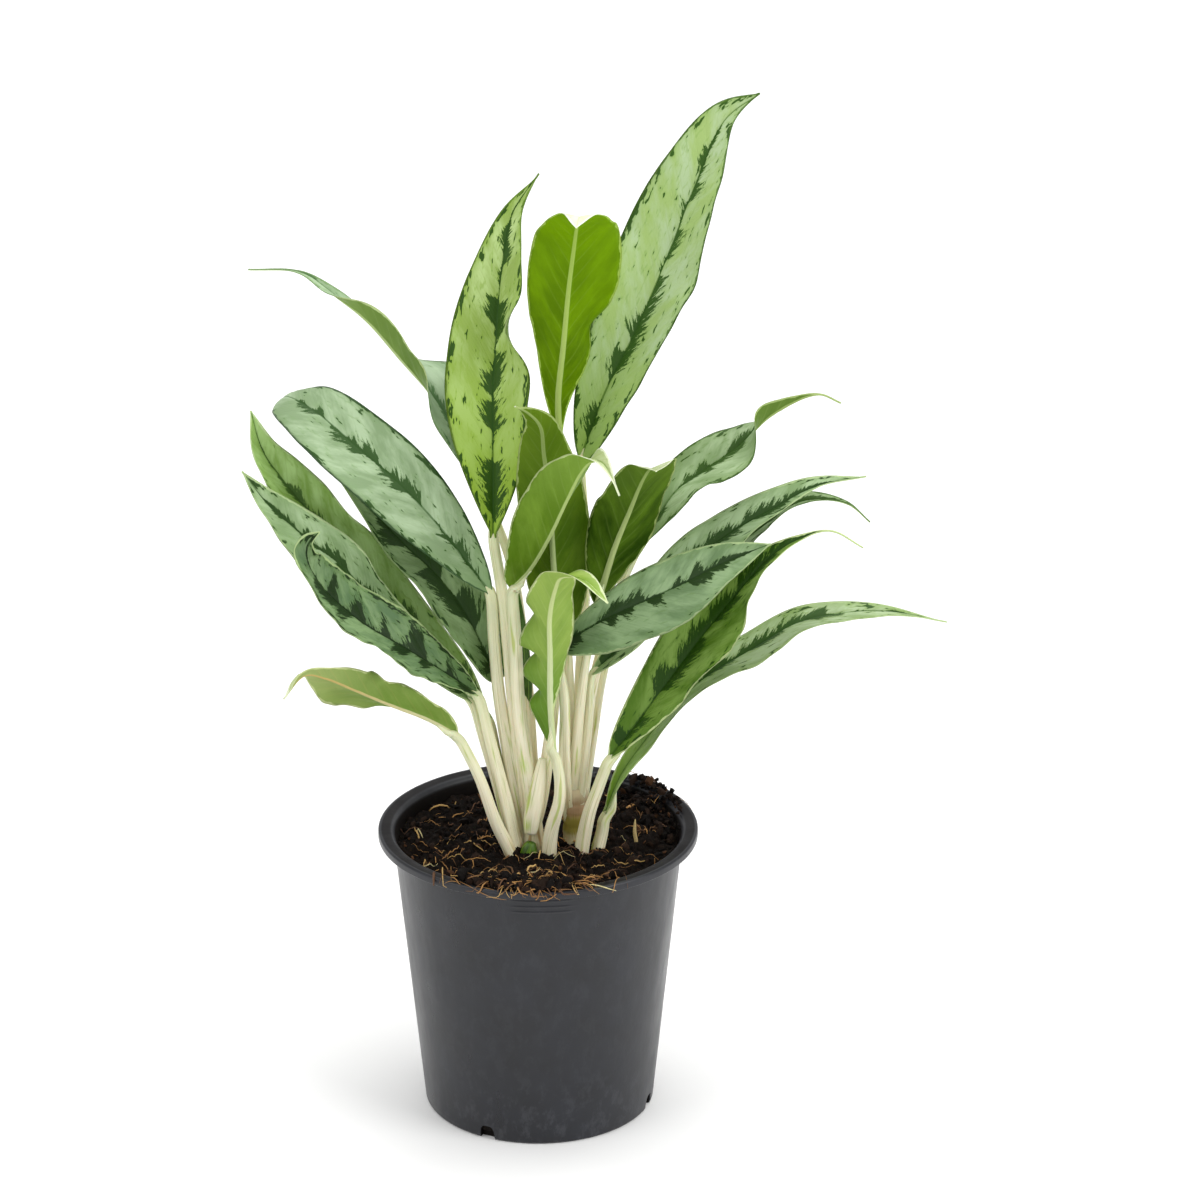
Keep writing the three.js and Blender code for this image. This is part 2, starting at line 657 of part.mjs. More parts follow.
// Height of the soil's top: level, uneven by about a millimetre, heaped at the front rim and at
// the back right.
function soilHeight(x, y) {
  const { x: heapX, spread, start, end, height } = FRONT_HEAP;
  const front = height * eased((-y - start) / (end - start));
  const window = Math.exp(-(((x - heapX) / spread) ** 2));
  const away = Math.hypot(x - BACK_HEAP.x, y - BACK_HEAP.y);
  const back = BACK_HEAP.height * Math.exp(-((away / BACK_HEAP.spread) ** 2));
  const broad = 0.8 * Math.sin(0.31 * x + 1.2) * Math.sin(0.27 * y + 0.4);
  const fine = 0.4 * Math.sin(0.63 * x - 0.41 * y + 2.1);
  return SOIL_LEVEL + front * window + back + broad + fine;
}

function soilSolid(holes) {
  const coordinates = [0, 0, soilHeight(0, 0)];
  const bottom = FLOOR_TOP + GAP;
  const inside = (z) => wallRadius(z) - WALL - GAP;
  for (const ring of SOIL_RINGS) {
    for (let k = 0; k < SOIL_SEGMENTS; k++) {
      const turn = (2 * Math.PI * k) / SOIL_SEGMENTS;
      const reach = ring * (inside(SOIL_LEVEL) - 0.2);
      let x = reach * Math.cos(turn);
      let y = reach * Math.sin(turn);
      const z = soilHeight(x, y);
      if (ring === 1) {
        x = inside(z) * Math.cos(turn);
        y = inside(z) * Math.sin(turn);
      }
      coordinates.push(x, y, z);
    }
  }
  for (let k = 0; k < SOIL_SEGMENTS; k++) {
    const turn = (2 * Math.PI * k) / SOIL_SEGMENTS;
    coordinates.push(inside(bottom) * Math.cos(turn), inside(bottom) * Math.sin(turn), bottom);
  }
  coordinates.push(0, 0, bottom);
  const ringStart = (ring) => 1 + ring * SOIL_SEGMENTS;
  const foot = ringStart(SOIL_RINGS.length + 1);
  const triangles = [];
  for (let k = 0; k < SOIL_SEGMENTS; k++) {
    const next = (k + 1) % SOIL_SEGMENTS;
    triangles.push(0, ringStart(0) + k, ringStart(0) + next);
    for (let ring = 0; ring < SOIL_RINGS.length; ring++) {
      const a = ringStart(ring) + k;
      const b = ringStart(ring) + next;
      triangles.push(a, a + SOIL_SEGMENTS, b + SOIL_SEGMENTS, a, b + SOIL_SEGMENTS, b);
    }
    const low = ringStart(SOIL_RINGS.length);
    triangles.push(low + k, foot, low + next);
  }
  let soil = solidFromArrays(coordinates, triangles);
  for (const hole of holes) soil = soil.subtract(hole);
  return soil;
}

// ---- the plant in its pot -----------------------------------------------------------------

const plant = new THREE.Group();
plant.name = "potted_chinese_evergreen";

plant.add(meshFromSolid("pot", potSolid(), COLOURS.pot));

const clumps = Object.keys(ROOTSTOCKS);
const holes = clumps.map((clump) => clumpSolid(clump, GAP));
plant.add(meshFromSolid("soil", soilSolid(holes), COLOURS.soil));

for (const clump of clumps) {
  plant.add(meshFromSolid("stalks_" + clump, clumpSolid(clump, 0), COLOURS.stalk));
}
for (const leaf of LEAVES) {
  plant.add(meshFromSolid("leaf_" + leaf.name, bladeSolid(leaf), COLOURS.leaf));
}

export default plant;
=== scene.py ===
"""Looks of a potted chinese evergreen: leaf blades, stalks, potting soil and nursery pot.

Shapes are worked out in millimetres and written to the meshes in metres. The frame is the part's
own: origin under the middle of the pot, +Z up, the front towards -Y.
"""

import logging
import math
from dataclasses import dataclass
from enum import Enum
from itertools import combinations

import bpy
import numpy as np
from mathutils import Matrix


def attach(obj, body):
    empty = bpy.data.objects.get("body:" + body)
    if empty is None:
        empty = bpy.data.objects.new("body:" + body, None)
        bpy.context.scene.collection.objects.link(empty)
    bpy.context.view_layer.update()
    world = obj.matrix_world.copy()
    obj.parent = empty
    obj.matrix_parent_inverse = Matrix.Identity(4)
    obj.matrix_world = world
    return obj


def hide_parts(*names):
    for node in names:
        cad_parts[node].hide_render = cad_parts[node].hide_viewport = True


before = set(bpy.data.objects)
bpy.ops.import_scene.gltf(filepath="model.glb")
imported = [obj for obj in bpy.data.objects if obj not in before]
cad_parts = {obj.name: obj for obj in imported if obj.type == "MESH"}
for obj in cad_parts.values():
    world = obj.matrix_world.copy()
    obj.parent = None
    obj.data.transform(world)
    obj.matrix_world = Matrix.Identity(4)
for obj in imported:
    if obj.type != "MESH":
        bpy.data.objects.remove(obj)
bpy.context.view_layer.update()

MM = 0.001
BODY = "root"
LOG = logging.getLogger("chinese_evergreen")

Array = np.ndarray
Point = tuple[float, float, float]
Socket = bpy.types.NodeSocket


# ---- curves and fields ----------------------------------------------------------------------


def smooth_rise(value: Array, low: float, high: float) -> Array:
    """Rise from 0 at low to 1 at high, as 3t^2 - 2t^3.

    Args:
        value: The numbers to ease.
        low: Where the rise starts.
        high: Where it ends.

    Returns:
        One share from 0 to 1 for each number.
    """
    t = np.clip((np.asarray(value, float) - low) / (high - low), 0.0, 1.0)
    return t * t * (3.0 - 2.0 * t)


def unit(vectors: Array) -> Array:
    """Return the vectors, each divided by its own length."""
    return vectors / np.linalg.norm(vectors, axis=-1, keepdims=True)


def uneven(points: Array, size: float, seed: int, waves: int = 9) -> Array:
    """Work out a smooth uneven field: the sum of sines that run in seeded directions.

    Args:
        points: Places, one per row, in millimetres.
        size: The mean length of a wave in millimetres.
        seed: The draw that sets directions, lengths and phases.
        waves: How many sines are added.

    Returns:
        One number per place, mostly between -1 and 1.
    """
    draw = np.random.default_rng(seed)
    runs = unit(draw.normal(size=(waves, points.shape[-1])))
    lengths = size * draw.uniform(0.7, 1.4, waves)
    phases = draw.uniform(0.0, 2.0 * np.pi, waves)
    turns = points @ (runs * (2.0 * np.pi / lengths)[:, None]).T + phases
    return np.sin(turns).sum(axis=-1) * math.sqrt(2.0 / waves) * 0.7


def full_turn(sides: int) -> Array:
    """Return evenly spaced angles round a full turn, in radians."""
    return np.linspace(0, 2 * np.pi, sides, endpoint=False)


PATH_STEPS = 401
PATH_NUDGE = 1e-3  # the share by which a curve's direction is measured to each side


@dataclass(frozen=True)
class Path:
    """A smooth curve through points: Catmull-Rom cubics, with mirrored points past both ends."""

    points: tuple[Point, ...]

    def by_index(self, share: Array) -> Array:
        """Return the curve's places at shares of the point count, from 0 to 1."""
        rows = np.asarray(self.points, float)
        last = len(rows) - 1
        ends = np.vstack([2 * rows[0] - rows[1], rows, 2 * rows[-1] - rows[-2]])
        t = np.clip(np.asarray(share, float), 0.0, 1.0) * last
        i = np.minimum(t.astype(int), last - 1)
        s = (t - i)[:, None]
        a, b, c, d = ends[i], ends[i + 1], ends[i + 2], ends[i + 3]
        line = 2 * b + (c - a) * s
        bend = (2 * a - 5 * b + 4 * c - d) * s**2 + (3 * b - a - 3 * c + d) * s**3
        return 0.5 * (line + bend)

    def by_length(self, share: Array) -> tuple[Array, Array, Array]:
        """Walk along the curve evenly.

        Args:
            share: Shares of the curve's length, from 0 to 1.

        Returns:
            The places, the unit directions along the curve and the lengths walked.
        """
        steps = np.linspace(0.0, 1.0, PATH_STEPS)
        fine = self.by_index(steps)
        walked = np.concatenate([[0.0], np.cumsum(np.linalg.norm(np.diff(fine, axis=0), axis=1))])
        at = np.interp(np.asarray(share, float) * walked[-1], walked, steps)
        after, before = np.clip(at + PATH_NUDGE, 0, 1), np.clip(at - PATH_NUDGE, 0, 1)
        ahead = self.by_index(after) - self.by_index(before)
        return self.by_index(at), unit(ahead), np.asarray(share, float) * walked[-1]


# ---- camera ---------------------------------------------------------------------------------

Pick = tuple[int, int, int]  # column and row in the photograph, and the depth in millimetres


@dataclass(frozen=True)
class PhotoCamera:
    """The photograph's camera, which looks along +Y and down, in millimetres and degrees."""

    place: Point = (23.2, -1521.0, 791.75)
    pitch: float = 21.19
    photo_px: float = 1200.0
    focal_px: float = 4436.8

    def places(self, picks: tuple[Pick, ...]) -> tuple[Point, ...]:
        """Find where the sight line of each pick reaches its depth, to the whole millimetre.

        With p the pitch, f the focal length and rise = middle - row, a line runs along
        (column - middle, f cos p + rise sin p, rise cos p - f sin p).

        Args:
            picks: Points picked in the photograph, each with its depth.

        Returns:
            The places in millimetres.
        """
        column, row, depth = np.asarray(picks, float).T
        middle, down = self.photo_px / 2, math.radians(self.pitch)
        rise = middle - row
        forward = self.focal_px * math.cos(down) + rise * math.sin(down)
        upward = rise * math.cos(down) - self.focal_px * math.sin(down)
        lines = np.stack([column - middle, forward, upward], -1)
        reach = (depth - self.place[1]) / forward
        return tuple(map(tuple, np.round(np.array(self.place) + lines * reach[:, None])))


CAMERA = PhotoCamera()


# ---- meshes ---------------------------------------------------------------------------------


def ring_quads(count: int, around: int) -> Array:
    """Join rings of points by quads.

    Ring i's point k joins ring i+1's point k, and the last point of a ring joins its first.

    Args:
        count: How many rings.
        around: How many points each ring has.

    Returns:
        The four point numbers of each quad.
    """
    number = np.arange(count * around).reshape(count, around)
    turned = np.roll(number, -1, axis=1)
    return np.stack([number[:-1], turned[:-1], turned[1:], number[1:]], -1).reshape(-1, 4)


@dataclass
class Surface:
    """Points and faces of a piece, with the values that its materials read at each point."""

    points: Array
    quads: Array
    triangles: Array
    quad_finish: Array
    values: dict[str, Array]

    @classmethod
    def from_rings(
        cls, rings: Array, values: dict[str, Array], finish: Array | None = None
    ) -> "Surface":
        """Close a row of rings into a skin, with a fan at each end.

        Args:
            rings: Places as [ring, point, xyz] in millimetres.
            values: Named values as [ring, point, ...], carried to the skin's points.
            finish: The material number of each strip of faces around the ring.

        Returns:
            The skin as a Surface.
        """
        count, around = rings.shape[:2]
        ring = np.arange(around)
        after, top = np.roll(ring, -1), (count - 1) * around
        foot = np.stack([np.full(around, count * around), after, ring], -1)
        head = np.stack([np.full(around, count * around + 1), ring + top, after + top], -1)
        points = np.vstack([rings.reshape(-1, 3), rings[0].mean(0), rings[-1].mean(0)])
        carried = {
            name: np.concatenate(
                [v.reshape(count * around, -1), v[:1].mean(1).reshape(1, -1), v[-1:].mean(1).reshape(1, -1)]
            )
            for name, v in values.items()
        }
        strips = np.zeros(around, int) if finish is None else finish
        quads = ring_quads(count, around)
        made = cls(points, quads, np.vstack([foot, head]), np.tile(strips, count - 1), carried)
        return made.outward()

    def outward(self) -> "Surface":
        """Turn every face over if the skin's volume comes out negative."""
        fan = [self.quads[:, [0, 1, 2]], self.quads[:, [0, 2, 3]], self.triangles]
        corners = self.points[np.vstack(fan)]
        volume = np.einsum("ij,ij->i", corners[:, 0], np.cross(corners[:, 1], corners[:, 2])).sum()
        if volume < 0:
            self.quads = self.quads[:, ::-1]
            self.triangles = self.triangles[:, ::-1]
        return self

    @classmethod
    def joined(cls, surfaces: list["Surface"]) -> "Surface":
        """Put several surfaces with the same values into one."""
        starts = np.cumsum([0] + [len(s.points) for s in surfaces[:-1]])
        return cls(
            np.vstack([s.points for s in surfaces]),
            np.vstack([s.quads + n for s, n in zip(surfaces, starts)]),
            np.vstack([s.triangles + n for s, n in zip(surfaces, starts)]),
            np.concatenate([s.quad_finish for s in surfaces]),
            {k: np.concatenate([s.values[k] for s in surfaces]) for k in surfaces[0].values},
        )

    def as_object(
        self, name: str, materials: list[bpy.types.Material], smooth: bool = True
    ) -> bpy.types.Object:
        """Write the surface into a mesh object at the origin.

        Args:
            name: The object's name.
            materials: The finishes, in the order that quad_finish numbers them.
            smooth: Whether the shading is smooth; crumbs keep their sharp facets.

        Returns:
            The linked object.
        """
        mesh = bpy.data.meshes.new(name)
        corners = np.concatenate([self.quads.ravel(), self.triangles.ravel()])
        sizes = np.concatenate([np.full(len(self.quads), 4), np.full(len(self.triangles), 3)])
        starts = np.concatenate([[0], np.cumsum(sizes)[:-1]])
        mesh.vertices.add(len(self.points))
        mesh.loops.add(len(corners))
        mesh.polygons.add(len(sizes))
        mesh.vertices.foreach_set("co", (self.points * MM).astype(np.float32).ravel())
        mesh.loops.foreach_set("vertex_index", corners.astype(np.int32))
        mesh.polygons.foreach_set("loop_start", starts.astype(np.int32))
        finish = np.concatenate([self.quad_finish, np.zeros(len(self.triangles), int)])
        mesh.polygons.foreach_set("material_index", finish.astype(np.int32))
        mesh.polygons.foreach_set("use_smooth", np.full(len(sizes), smooth))
        mesh.update(calc_edges=True)
        mesh.validate()
        for label, value in self.values.items():
            kind = "FLOAT_VECTOR" if value.shape[1] == 3 else "FLOAT"
            field_name = "vector" if value.shape[1] == 3 else "value"
            attribute = mesh.attributes.new(label, kind, "POINT")
            attribute.data.foreach_set(field_name, value.astype(np.float32).ravel())
        for material in materials:
            mesh.materials.append(material)
        made = bpy.data.objects.new(name, mesh)
        bpy.context.scene.collection.objects.link(made)
        return made


def settle(piece: bpy.types.Object, slot: str, *nodes: str) -> None:
    """Ride a piece on the plant's body and hide the solids it stands for."""
    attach(piece, BODY)
    if nodes:
        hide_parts(*nodes)


# ---- shader nodes ---------------------------------------------------------------------------

VEIN_LEAN = 1.4  # millimetres along the midrib for each one that a side vein goes out
VEINS_PER_MM = 0.135


def colour(code: str) -> tuple[float, float, float, float]:
    """Turn a six-digit colour code into linear red, green, blue and alpha."""
    parts = [int(code[i : i + 2], 16) / 255 for i in (0, 2, 4)]
    linear = [p / 12.92 if p <= 0.04045 else ((p + 0.055) / 1.055) ** 2.4 for p in parts]
    return (linear[0], linear[1], linear[2], 1.0)


@dataclass
class Wiring:
    """A node tree that is wired by calls: each call adds a node and gives its result."""

    tree: bpy.types.NodeTree

    def node(self, kind: str, **settings: object) -> bpy.types.Node:
        """Add a node of a kind and set its options."""
        made = self.tree.nodes.new(kind)
        for name, value in settings.items():
            setattr(made, name, value)
        return made

    def feed(self, value: object, socket: Socket) -> None:
        """Link a socket into another one, or set a plain value on it."""
        if isinstance(value, bpy.types.NodeSocket):
            self.tree.links.new(value, socket)
        else:
            socket.default_value = value

    def math(self, operation: str, a: object, b: object = 0.0, c: object = 0.0) -> Socket:
        """Add a Math node."""
        made = self.node("ShaderNodeMath", operation=operation)
        for value, socket in zip((a, b, c), made.inputs):
            self.feed(value, socket)
        return made.outputs[0]

    def times(self, a: object, b: object) -> Socket:
        """Multiply two values."""
        return self.math("MULTIPLY", a, b)

    def plus(self, a: object, b: object) -> Socket:
        """Add two values."""
        return self.math("ADD", a, b)

    def minus(self, a: object, b: object) -> Socket:
        """Take the second value from the first."""
        return self.math("SUBTRACT", a, b)

    def split(self, name: str) -> tuple[Socket, Socket, Socket]:
        """Read a mesh attribute and give its three numbers."""
        read = self.node("ShaderNodeAttribute", attribute_name=name)
        parts = self.node("ShaderNodeSeparateXYZ")
        self.feed(read.outputs["Vector"], parts.inputs[0])
        return parts.outputs[0], parts.outputs[1], parts.outputs[2]

    def value(self, name: str) -> Socket:
        """Read a mesh attribute that holds one number."""
        return self.node("ShaderNodeAttribute", attribute_name=name).outputs["Fac"]

    def vector(self, x: object, y: object, z: object) -> Socket:
        """Join three numbers into a vector."""
        made = self.node("ShaderNodeCombineXYZ")
        for value, socket in zip((x, y, z), made.inputs):
            self.feed(value, socket)
        return made.outputs[0]

    def place(self) -> Socket:
        """Give the Object coordinates, in metres."""
        return self.node("ShaderNodeTexCoord").outputs["Object"]

    def place_parts(self) -> tuple[Socket, Socket, Socket]:
        """Give the Object coordinates as three numbers, in metres."""
        parts = self.node("ShaderNodeSeparateXYZ")
        self.feed(self.place(), parts.inputs[0])
        return parts.outputs[0], parts.outputs[1], parts.outputs[2]

    def noise(self, at: object, scale: float, detail: float = 2.0, rough: float = 0.5) -> Socket:
        """Add a Noise texture and give its value, about 0.5 in the middle."""
        made = self.node("ShaderNodeTexNoise")
        self.feed(at, made.inputs["Vector"])
        made.inputs["Scale"].default_value = scale
        made.inputs["Detail"].default_value = detail
        made.inputs["Roughness"].default_value = rough
        return made.outputs["Fac"]

    def streaks(
        self, at: tuple[Socket, ...], rates: tuple[float, float], detail: float, rough: float = 0.5
    ) -> Socket:
        """Add a Noise texture that is stretched along a surface.

        Args:
            at: The millimetres along, the millimetres across and a seed.
            rates: The noise's steps for each millimetre along and across.
            detail: The noise's detail.
            rough: Its roughness.

        Returns:
            The noise's value.
        """
        along, across, seed = at
        place = self.vector(self.times(along, rates[0]), self.times(across, rates[1]), seed)
        return self.noise(place, 1.0, detail, rough)

    def rise(self, value: object, low: object, high: object, to: float = 1.0) -> Socket:
        """Rise smoothly from 0 at low to `to` at high."""
        made = self.node("ShaderNodeMapRange", interpolation_type="SMOOTHSTEP")
        for item, socket in zip((value, low, high, 0.0, to), made.inputs):
            self.feed(item, socket)
        return made.outputs[0]

    def scale(self, value: object, low: float, high: float, start: float, end: float) -> Socket:
        """Map a value evenly from low..high to start..end, held at both ends."""
        made = self.node("ShaderNodeMapRange")
        for item, socket in zip((value, low, high, start, end), made.inputs):
            self.feed(item, socket)
        return made.outputs[0]

    def blend(self, share: object, a: object, b: object) -> Socket:
        """Mix two colours."""
        made = self.node("ShaderNodeMix", data_type="RGBA")
        for value, socket in zip((share, a, b), (made.inputs[0], made.inputs[6], made.inputs[7])):
            self.feed(value, socket)
        return made.outputs[2]

    def bump(self, height: object, strength: float, depth: float) -> Socket:
        """Add a Bump node and give its normal."""
        made = self.node("ShaderNodeBump")
        made.inputs["Strength"].default_value = strength
        made.inputs["Distance"].default_value = depth
        self.feed(height, made.inputs["Height"])
        return made.outputs["Normal"]

    def group(self, tree: bpy.types.NodeTree, **inputs: object) -> dict[str, Socket]:
        """Place a node group, feed its inputs and give its outputs by name."""
        made = self.node("ShaderNodeGroup")
        made.node_tree = tree
        for name, value in inputs.items():
            self.feed(value, made.inputs[name])
        return {socket.name: socket for socket in made.outputs}


@dataclass
class Finish:
    """A material with one Principled shader, wired through a Wiring."""

    name: str

    def __post_init__(self) -> None:
        """Make the empty material and its shader."""
        self.material = bpy.data.materials.new(self.name)
        self.material.use_nodes = True
        self.wiring = Wiring(self.material.node_tree)
        self.shader = self.material.node_tree.nodes["Principled BSDF"]

    def set(self, **inputs: object) -> bpy.types.Material:
        """Feed the shader's inputs, named with underscores for spaces, and give the material."""
        for name, value in inputs.items():
            self.wiring.feed(value, self.shader.inputs[name.replace("_", " ")])
        return self.material


def new_group(name: str, inputs: dict[str, float], outputs: list[str]) -> tuple[Wiring, dict, dict]:
    """Start a shader node group with named number sockets.

    Args:
        name: The group's name.
        inputs: Its inputs and their usual values.
        outputs: Its outputs.

    Returns:
        The wiring inside, the sockets that give the inputs, and those that take the outputs.
    """
    tree = bpy.data.node_groups.new(name, "ShaderNodeTree")
    for label, usual in inputs.items():
        made = tree.interface.new_socket(label, in_out="INPUT", socket_type="NodeSocketFloat")
        made.default_value = usual
    for label in outputs:
        tree.interface.new_socket(label, in_out="OUTPUT", socket_type="NodeSocketFloat")
    inside = Wiring(tree)
    given = inside.node("NodeGroupInput").outputs
    taken = inside.node("NodeGroupOutput").inputs
    return inside, {k: given[k] for k in inputs}, {k: taken[k] for k in outputs}


def blade_marks() -> bpy.types.NodeTree:
    """Build the group that works out the marks of a blade from its own coordinates.

    blade_mm holds the millimetres along the midrib, the millimetres across it and the leaf's
    seed. blade_share holds the share of the length, the share of the half width (negative on
    the left) and the millimetres to the margin. A side vein leaves the midrib towards the tip,
    so it is a line of constant root = along - VEIN_LEAN * away. A place is dark where the
    density, patch(root) + Fill - away / Band, is more than a noise that runs along the veins.
    There are no marks before the share of the length that Start gives.

    Returns:
        The group. Dark is the feathered band beside the midrib with the dashes near the
        margins, Fringe the tissue just round it, Edge the line along the margin, Rim the zone
        inside it, Rib the midrib, Veins the side veins, Cloud a slow change of tone and Height
        the relief.
    """
    w, given, taken = new_group(
        "blade_marks",
        {"Band": 6.0, "Fill": 0.0, "Flecks": 0.5, "Rib Width": 0.5, "Start": 0.0},
        ["Dark", "Fringe", "Edge", "Rim", "Rib", "Veins", "Cloud", "Height"],
    )
    along, across, seed = w.split("blade_mm")
    share, _, to_margin = w.split("blade_share")
    away = w.math("ABSOLUTE", across)
    shifted = w.plus(seed, w.times(w.math("SIGN", across), 3.7))
    root = w.minus(along, w.times(away, VEIN_LEAN))

    patch_at = w.plus(root, w.times(away, 0.8))
    patch = w.noise(w.vector(w.times(patch_at, 0.085), shifted, 0.0), 1.0, 1.0, 0.5)
    from_foot = w.rise(share, given["Start"], w.plus(given["Start"], 0.05))
    ends = w.times(from_foot, w.rise(share, 0.96, 0.66))
    full = w.plus(w.scale(patch, 0.38, 0.56, -0.2, 1.3), given["Fill"])
    streaks = w.streaks((root, away, shifted), (0.72, 0.3), 5.0, 0.72)
    streak = w.scale(streaks, 0.33, 0.67, 0.0, 1.0)
    core = w.rise(away, 0.8, 0.0, 0.5)
    slender = w.math("DIVIDE", away, w.plus(w.times(given["Band"], ends), 0.01))
    density = w.minus(w.plus(full, core), w.plus(slender, w.scale(from_foot, 0.0, 1.0, 9.0, 0.0)))
    band = w.minus(density, w.plus(w.times(streak, 1.1), 0.02))

    short = w.streaks((along, across, w.plus(seed, 11.0)), (0.17, 0.62), 2.0, 0.6)
    dash = w.scale(short, 0.3, 0.7, 0.0, 1.0)
    groups = w.noise(w.vector(w.times(along, 0.075), w.plus(shifted, 7.0), 0.0), 1.0, 1.0)
    near = w.times(w.rise(to_margin, 4.2, 0.2, 0.62), w.scale(groups, 0.36, 0.6, 0.2, 1.0))
    dense = w.times(w.times(given["Flecks"], from_foot), w.plus(near, 0.2))
    dashes = w.minus(w.plus(dash, dense), 1.08)
    marks = w.math("MAXIMUM", band, dashes)
    w.feed(w.rise(marks, 0.0, 0.09), taken["Dark"])
    w.feed(w.rise(marks, -0.3, 0.0), taken["Fringe"])

    wander = w.noise(w.vector(w.times(along, 0.3), shifted, 0.0), 1.0)
    edge_width = w.scale(wander, 0.3, 0.7, 0.2, 0.95)
    w.feed(w.rise(to_margin, w.plus(edge_width, 0.2), edge_width), taken["Edge"])
    w.feed(w.rise(to_margin, 4.0, 0.0), taken["Rim"])
    rib_half = w.times(given["Rib Width"], w.scale(share, 0.0, 1.0, 1.35, 0.35))
    w.feed(w.rise(away, w.plus(rib_half, 0.25), rib_half), taken["Rib"])

    bow = w.times(w.times(away, away), -0.03)
    line = w.math("FRACT", w.times(w.plus(root, bow), VEINS_PER_MM))
    from_line = w.math("ABSOLUTE", w.minus(line, 0.5))
    veins = w.times(w.rise(from_line, 0.1, 0.02), w.rise(away, 13.0, 2.0))
    w.feed(veins, taken["Veins"])
    w.feed(w.streaks((root, away, shifted), (0.075, 0.075), 4.0, 0.6), taken["Cloud"])

    fine = w.streaks((along, across, seed), (2.2, 2.2), 2.0, 0.7)
    fine_lines = w.math("SINE", w.times(root, 3.6))
    height = w.plus(w.times(veins, -0.4), w.times(fine, 0.3))
    w.feed(w.plus(height, w.times(fine_lines, 0.06)), taken["Height"])
    return w.tree


def tone_noise() -> bpy.types.NodeTree:
    """Build the group that gives two sizes of unevenness on Object coordinates.

    Returns:
        The group: Broad and Fine are noise values, and Size is in parts per metre.
    """
    w, given, taken = new_group("tone_noise", {"Size": 100.0}, ["Broad", "Fine"])
    stretch = w.node("ShaderNodeVectorMath", operation="SCALE")
    w.feed(w.place(), stretch.inputs[0])
    w.feed(given["Size"], stretch.inputs["Scale"])
    w.feed(w.noise(stretch.outputs[0], 1.0, 3.0, 0.55), taken["Broad"])
    w.feed(w.noise(stretch.outputs[0], 7.0, 3.0, 0.65), taken["Fine"])
    return w.tree


# ---- leaf finishes --------------------------------------------------------------------------


@dataclass(frozen=True)
class UpperFinish:
    """Colours and marks of a blade's upper face."""

    silver: str
    shade: str
    dark: str
    low: str  # the tone near the stalk
    low_reach: float  # how far up the blade it reaches, as a share
    rim: str  # the tone just inside the margin, and round the dark marks
    edge: str
    rib: str
    band: float  # half width of the dark band in millimetres
    fill: float  # 0 leaves gaps between the dark patches, 1 closes them
    flecks: float
    plain_foot: float = 0.0  # the share of the length before the first mark
    rough: float = 0.44
    specular: float = 0.2

    def material(self, name: str, marks: bpy.types.NodeTree) -> bpy.types.Material:
        """Make the finish.

        Args:
            name: The material's name.
            marks: The blade_marks group.

        Returns:
            The material.
        """
        made = Finish(name)
        w = made.wiring
        sizes = {"Band": self.band, "Fill": self.fill, "Flecks": self.flecks, "Start": self.plain_foot}
        sign = w.group(marks, **sizes, **{"Rib Width": 0.25})
        share, _, _ = w.split("blade_share")
        tone = w.blend(w.scale(sign["Cloud"], 0.4, 0.6, 0, 1), colour(self.silver), colour(self.shade))
        tone = w.blend(w.times(sign["Rim"], 0.45), tone, colour(self.rim))
        tone = w.blend(w.times(sign["Veins"], 0.2), tone, colour(self.shade))
        tone = w.blend(w.times(sign["Fringe"], 0.5), tone, colour(self.rim))
        tone = w.blend(w.rise(share, self.low_reach, 0.0, 0.85), tone, colour(self.low))
        tone = w.blend(w.times(sign["Rib"], 0.75), tone, colour(self.rib))
        tone = w.blend(w.times(sign["Dark"], 0.95), tone, colour(self.dark))
        tone = w.blend(w.times(sign["Edge"], 0.85), tone, colour(self.edge))
        rough = w.scale(sign["Cloud"], 0.3, 0.7, self.rough - 0.05, self.rough + 0.08)
        return made.set(
            Base_Color=tone,
            Roughness=rough,
            Specular_IOR_Level=self.specular,
            Normal=w.bump(sign["Height"], 0.3, 0.0006),
        )


@dataclass(frozen=True)
class LowerFinish:
    """Colours of a blade's lower face, with its pale raised midrib."""

    green: str
    shade: str
    tip_lighting: str  # the tone of the thin tissue near the tip, where light comes through
    rib: str
    # painted light and shade: the tone towards the tip, as the light through the thin tissue and the shade
    # along the blade
    edge: str
    rib_foot: str  # the midrib's tone near the stalk
    rib_width: float = 0.62
    specular: float = 0.16
    low: str = ""  # the tone near the stalk, where it differs
    low_reach: float = 0.5

    def material(self, name: str, marks: bpy.types.NodeTree) -> bpy.types.Material:
        """Make the finish.

        Args:
            name: The material's name.
            marks: The blade_marks group.

        Returns:
            The material.
        """
        made = Finish(name)
        w = made.wiring
        sign = w.group(marks, **{"Band": 5.0, "Fill": 0.3, "Flecks": 0.4, "Rib Width": self.rib_width})
        share, _, _ = w.split("blade_share")
        tone = w.blend(w.scale(sign["Cloud"], 0.36, 0.6, 0, 1), colour(self.green), colour(self.shade))
        tone = w.blend(w.times(sign["Fringe"], 0.18), tone, colour(self.shade))
        # painted light and shade: the green turns towards the tip's tone along the length
        tone = w.blend(w.rise(share, 0.3, 1.0, 0.7), tone, colour(self.tip_lighting))
        if self.low:
            tone = w.blend(w.rise(share, self.low_reach, 0.08, 0.85), tone, colour(self.low))
        tone = w.blend(w.times(sign["Veins"], 0.09), tone, colour(self.rib))
        foot = w.blend(w.rise(share, 0.75, 0.15), colour(self.rib), colour(self.rib_foot))
        tone = w.blend(w.times(sign["Rib"], 0.92), tone, foot)
        tone = w.blend(w.times(sign["Edge"], 0.8), tone, colour(self.edge))
        rough = w.scale(sign["Cloud"], 0.3, 0.7, 0.46, 0.6)
        turned = w.times(sign["Height"], -1.0)
        return made.set(
            Base_Color=tone,
            Roughness=rough,
            Specular_IOR_Level=self.specular,
            Normal=w.bump(turned, 0.2, 0.0005),
        )


